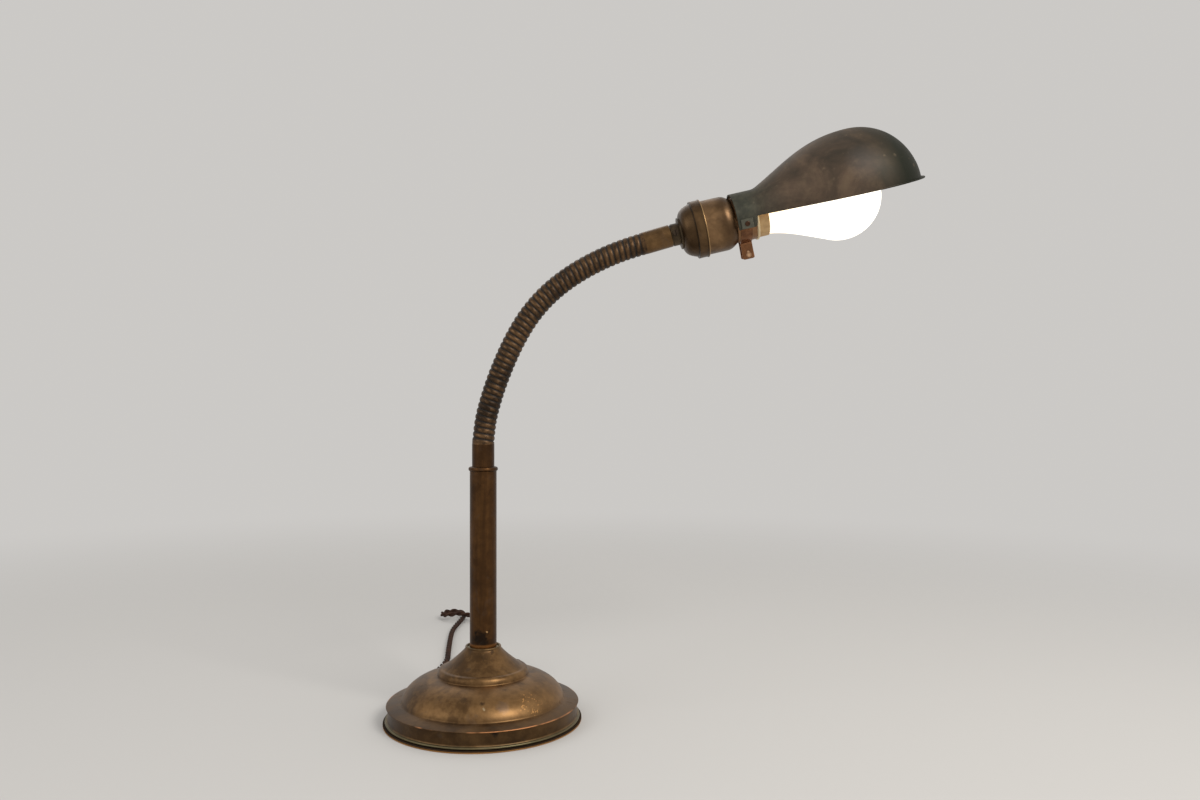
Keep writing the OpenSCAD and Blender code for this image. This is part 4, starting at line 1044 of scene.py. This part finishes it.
def half_shade(sides=72):
    """The spun half pear of sheet, painted within."""
    outer, inner = shade_line(0), shade_line(SHADE_T)
    verts, faces = [], []
    for r, z in outer + inner:
        edge = ear_edge(r, z)
        for k in range(sides + 1):
            a = edge - (pi + 2 * edge) * k / sides
            dent = 0.1 * noise.noise(Vector((r * cos(a), r * sin(a), z)) * 0.04) - 0.12 if r > 20 else 0
            verts.append(at_mm(SHADE, (r + dent) * cos(a), (r + dent) * sin(a), z))
    row, count = sides + 1, len(outer)
    second = count * row
    for first in (0, second):
        starts = [first + i * row + k for i in range(count - 1) for k in range(sides)]
        faces += [(p, p + 1, p + row + 1, p + row) for p in starts]
    for p in (i * row + k for i in range(count - 1) for k in (0, sides)):
        faces.append((p, p + row, second + p + row, second + p))
    for p in (first + k for k in range(sides) for first in (0, (count - 1) * row)):
        faces.append((p, p + 1, second + p + 1, second + p))
    made = piece("half_shade", verts, faces, patina, 50)
    made.data.materials.append(lining)
    middle = SHADE.inverted()
    for face in made.data.polygons:
        at, way = middle @ face.center, middle.to_3x3() @ face.normal
        out = Vector((at.x, at.y, 0)).dot(way) + (at.z - WIDE_Z * MM) * way.z * (at.z > WIDE_Z * MM)
        face.material_index = 1 if out < -0.0002 and at.z > (COLLAR_Z + 1) * MM else 0
    return made


def front_lip():
    """The flat lip turned out round the front of the cut edge, widest at the tip."""
    steps, n, near, deep = 90, 6, CUT_LIFT + 0.1, 0.3
    verts = []
    for i in range(steps + 1):
        a = pi * i / steps
        inner = Vector(((SHADE_R - SHADE_T / 2) * cos(a), WIDE_Z + (TIP_L - SHADE_T / 2) * sin(a)))
        outer = Vector(((SHADE_R + 0.2) * cos(a), WIDE_Z + (TIP_L + LIP_W - 0.1) * sin(a)))
        edge = outer + (inner - outer).normalized() * deep
        for p, y in ((inner, near), (edge, near), (outer, near + deep), (outer, near + LIP_T - deep),
                     (edge, near + LIP_T), (inner, near + LIP_T)):
            verts.append(at_mm(SHADE, p.x, -y, p.y))
    faces = bands(steps + 1, n) + [tuple(range(n)), tuple(range(steps * n, steps * n + n))]
    return piece("shade_lip", verts, faces, patina, 50)


shade = half_shade()
lip = front_lip()
for made in (shade, lip):
    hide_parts("shade")
    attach(made, "shade")


# ---- clip: a saddle over the socket's neck and two arms under it ----
CLOSING = 26   # degrees


def strap_point(angle, gone, free):
    """The strip's middle at an angle; it lies on the collar for the first free degrees, then closes on the throat."""
    closing = sin(radians(min(max(gone - free, 0) * 90 / CLOSING, 90))) ** 2
    r = CLIP_OUT - (CLIP_OUT - CLIP_IN) * closing + CLIP_T / 2
    return Vector((r * cos(radians(angle)), r * sin(radians(angle))))


def arm_line(side):
    """The middle line of one arm: round the throat, then down as a tab that flares at its end."""
    found = [strap_point(a, a, 14) for a in range(ARM_START, ARM_END - 4, 2)]
    corner = strap_point(ARM_END, ARM_END, 14)
    found += curve(found[-1], corner.lerp(found[-1], 0.25), corner + Vector((0, 0.4)),
                   corner + Vector((0.05, 2)), 10)[1:]
    found += curve(found[-1], corner + Vector((0.25, 6)), corner + Vector((0.3, TAB_L - 3.4)),
                   corner + Vector((TAB_FLARE, TAB_L)), 14)[1:]
    return even([Vector((side * p.x, p.y)) for p in found], 0.3)


SPAN = 180 + 2 * SADDLE_END
over = [strap_point(SADDLE_END - k, min(k, SPAN - k), 12) for k in range(0, SPAN + 1, 2)]
saddle = strip("copper_saddle", even(over, 0.3))
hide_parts("clip_saddle")
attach(saddle, "shade")


def rivet_frame(side):
    """+Z outward through the rivet, +X towards the cap."""
    angle = RIVET_ANGLE if side > 0 else 180 - RIVET_ANGLE
    return (SHADE @ Matrix.Rotation(radians(angle), 4, "Z") @ Matrix.Translation((0, 0, RIVET_Z * MM))
            @ Matrix.Rotation(radians(90), 4, "Y"))


def rivet_plate(name, side, size=(8.6, 7.0), thick=0.7):
    """A bevelled plate bent round the collar, with the rivet's hole."""
    edge = rectangle(*size, 0.9)
    hole = [p.normalized() * (RIVET_R + 0.05) for p in edge]
    pressed = [p.normalized() * (RIVET_R + 1.0) for p in edge]
    fold = [p * 0.86 for p in edge]
    loops = ((edge, 0), (edge, thick - 0.25), ([p * 0.95 for p in edge], thick), (fold, thick - 0.02),
             (pressed, thick - 0.16), (hole, thick - 0.2), (hole, 0))
    verts = []
    for loop, height in loops:
        for p in loop:
            up = COLLAR_R + 0.2 + height - p.y ** 2 / (2 * COLLAR_R)
            verts.append(at_mm(rivet_frame(side), p.x, p.y, up))
    return piece(name, verts, bands(len(loops), len(edge), closed=True), plate_patina, 35)


RIVET_HEAD = outline(
    (0, COLLAR_R - SHADE_T + 0.1), (RIVET_R, COLLAR_R - SHADE_T + 0.1), (RIVET_R, COLLAR_R + 0.92),
    (1.7, COLLAR_R + 0.92),
    curve((1.8, COLLAR_R + 1), (1.75, COLLAR_R + 1.3), (1.1, COLLAR_R + 1.5), (0, COLLAR_R + 1.5), 8))
for side, word in ((1, "front"), (-1, "rear")):
    arm = strip(f"copper_arm_{word}", arm_line(side))
    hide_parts(f"clip_{word}")
    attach(arm, f"clip_arm_{word}")
    plate = rivet_plate(f"rivet_plate_{word}", side)
    head = lathe(f"rivet_head_{word}", RIVET_HEAD, dark_rivet, rivet_frame(side), 32)
    for made, node, slot in ((plate, "rivet_plates", "patina"), (head, "rivets", "copper")):
        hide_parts(node)
        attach(made, "shade")
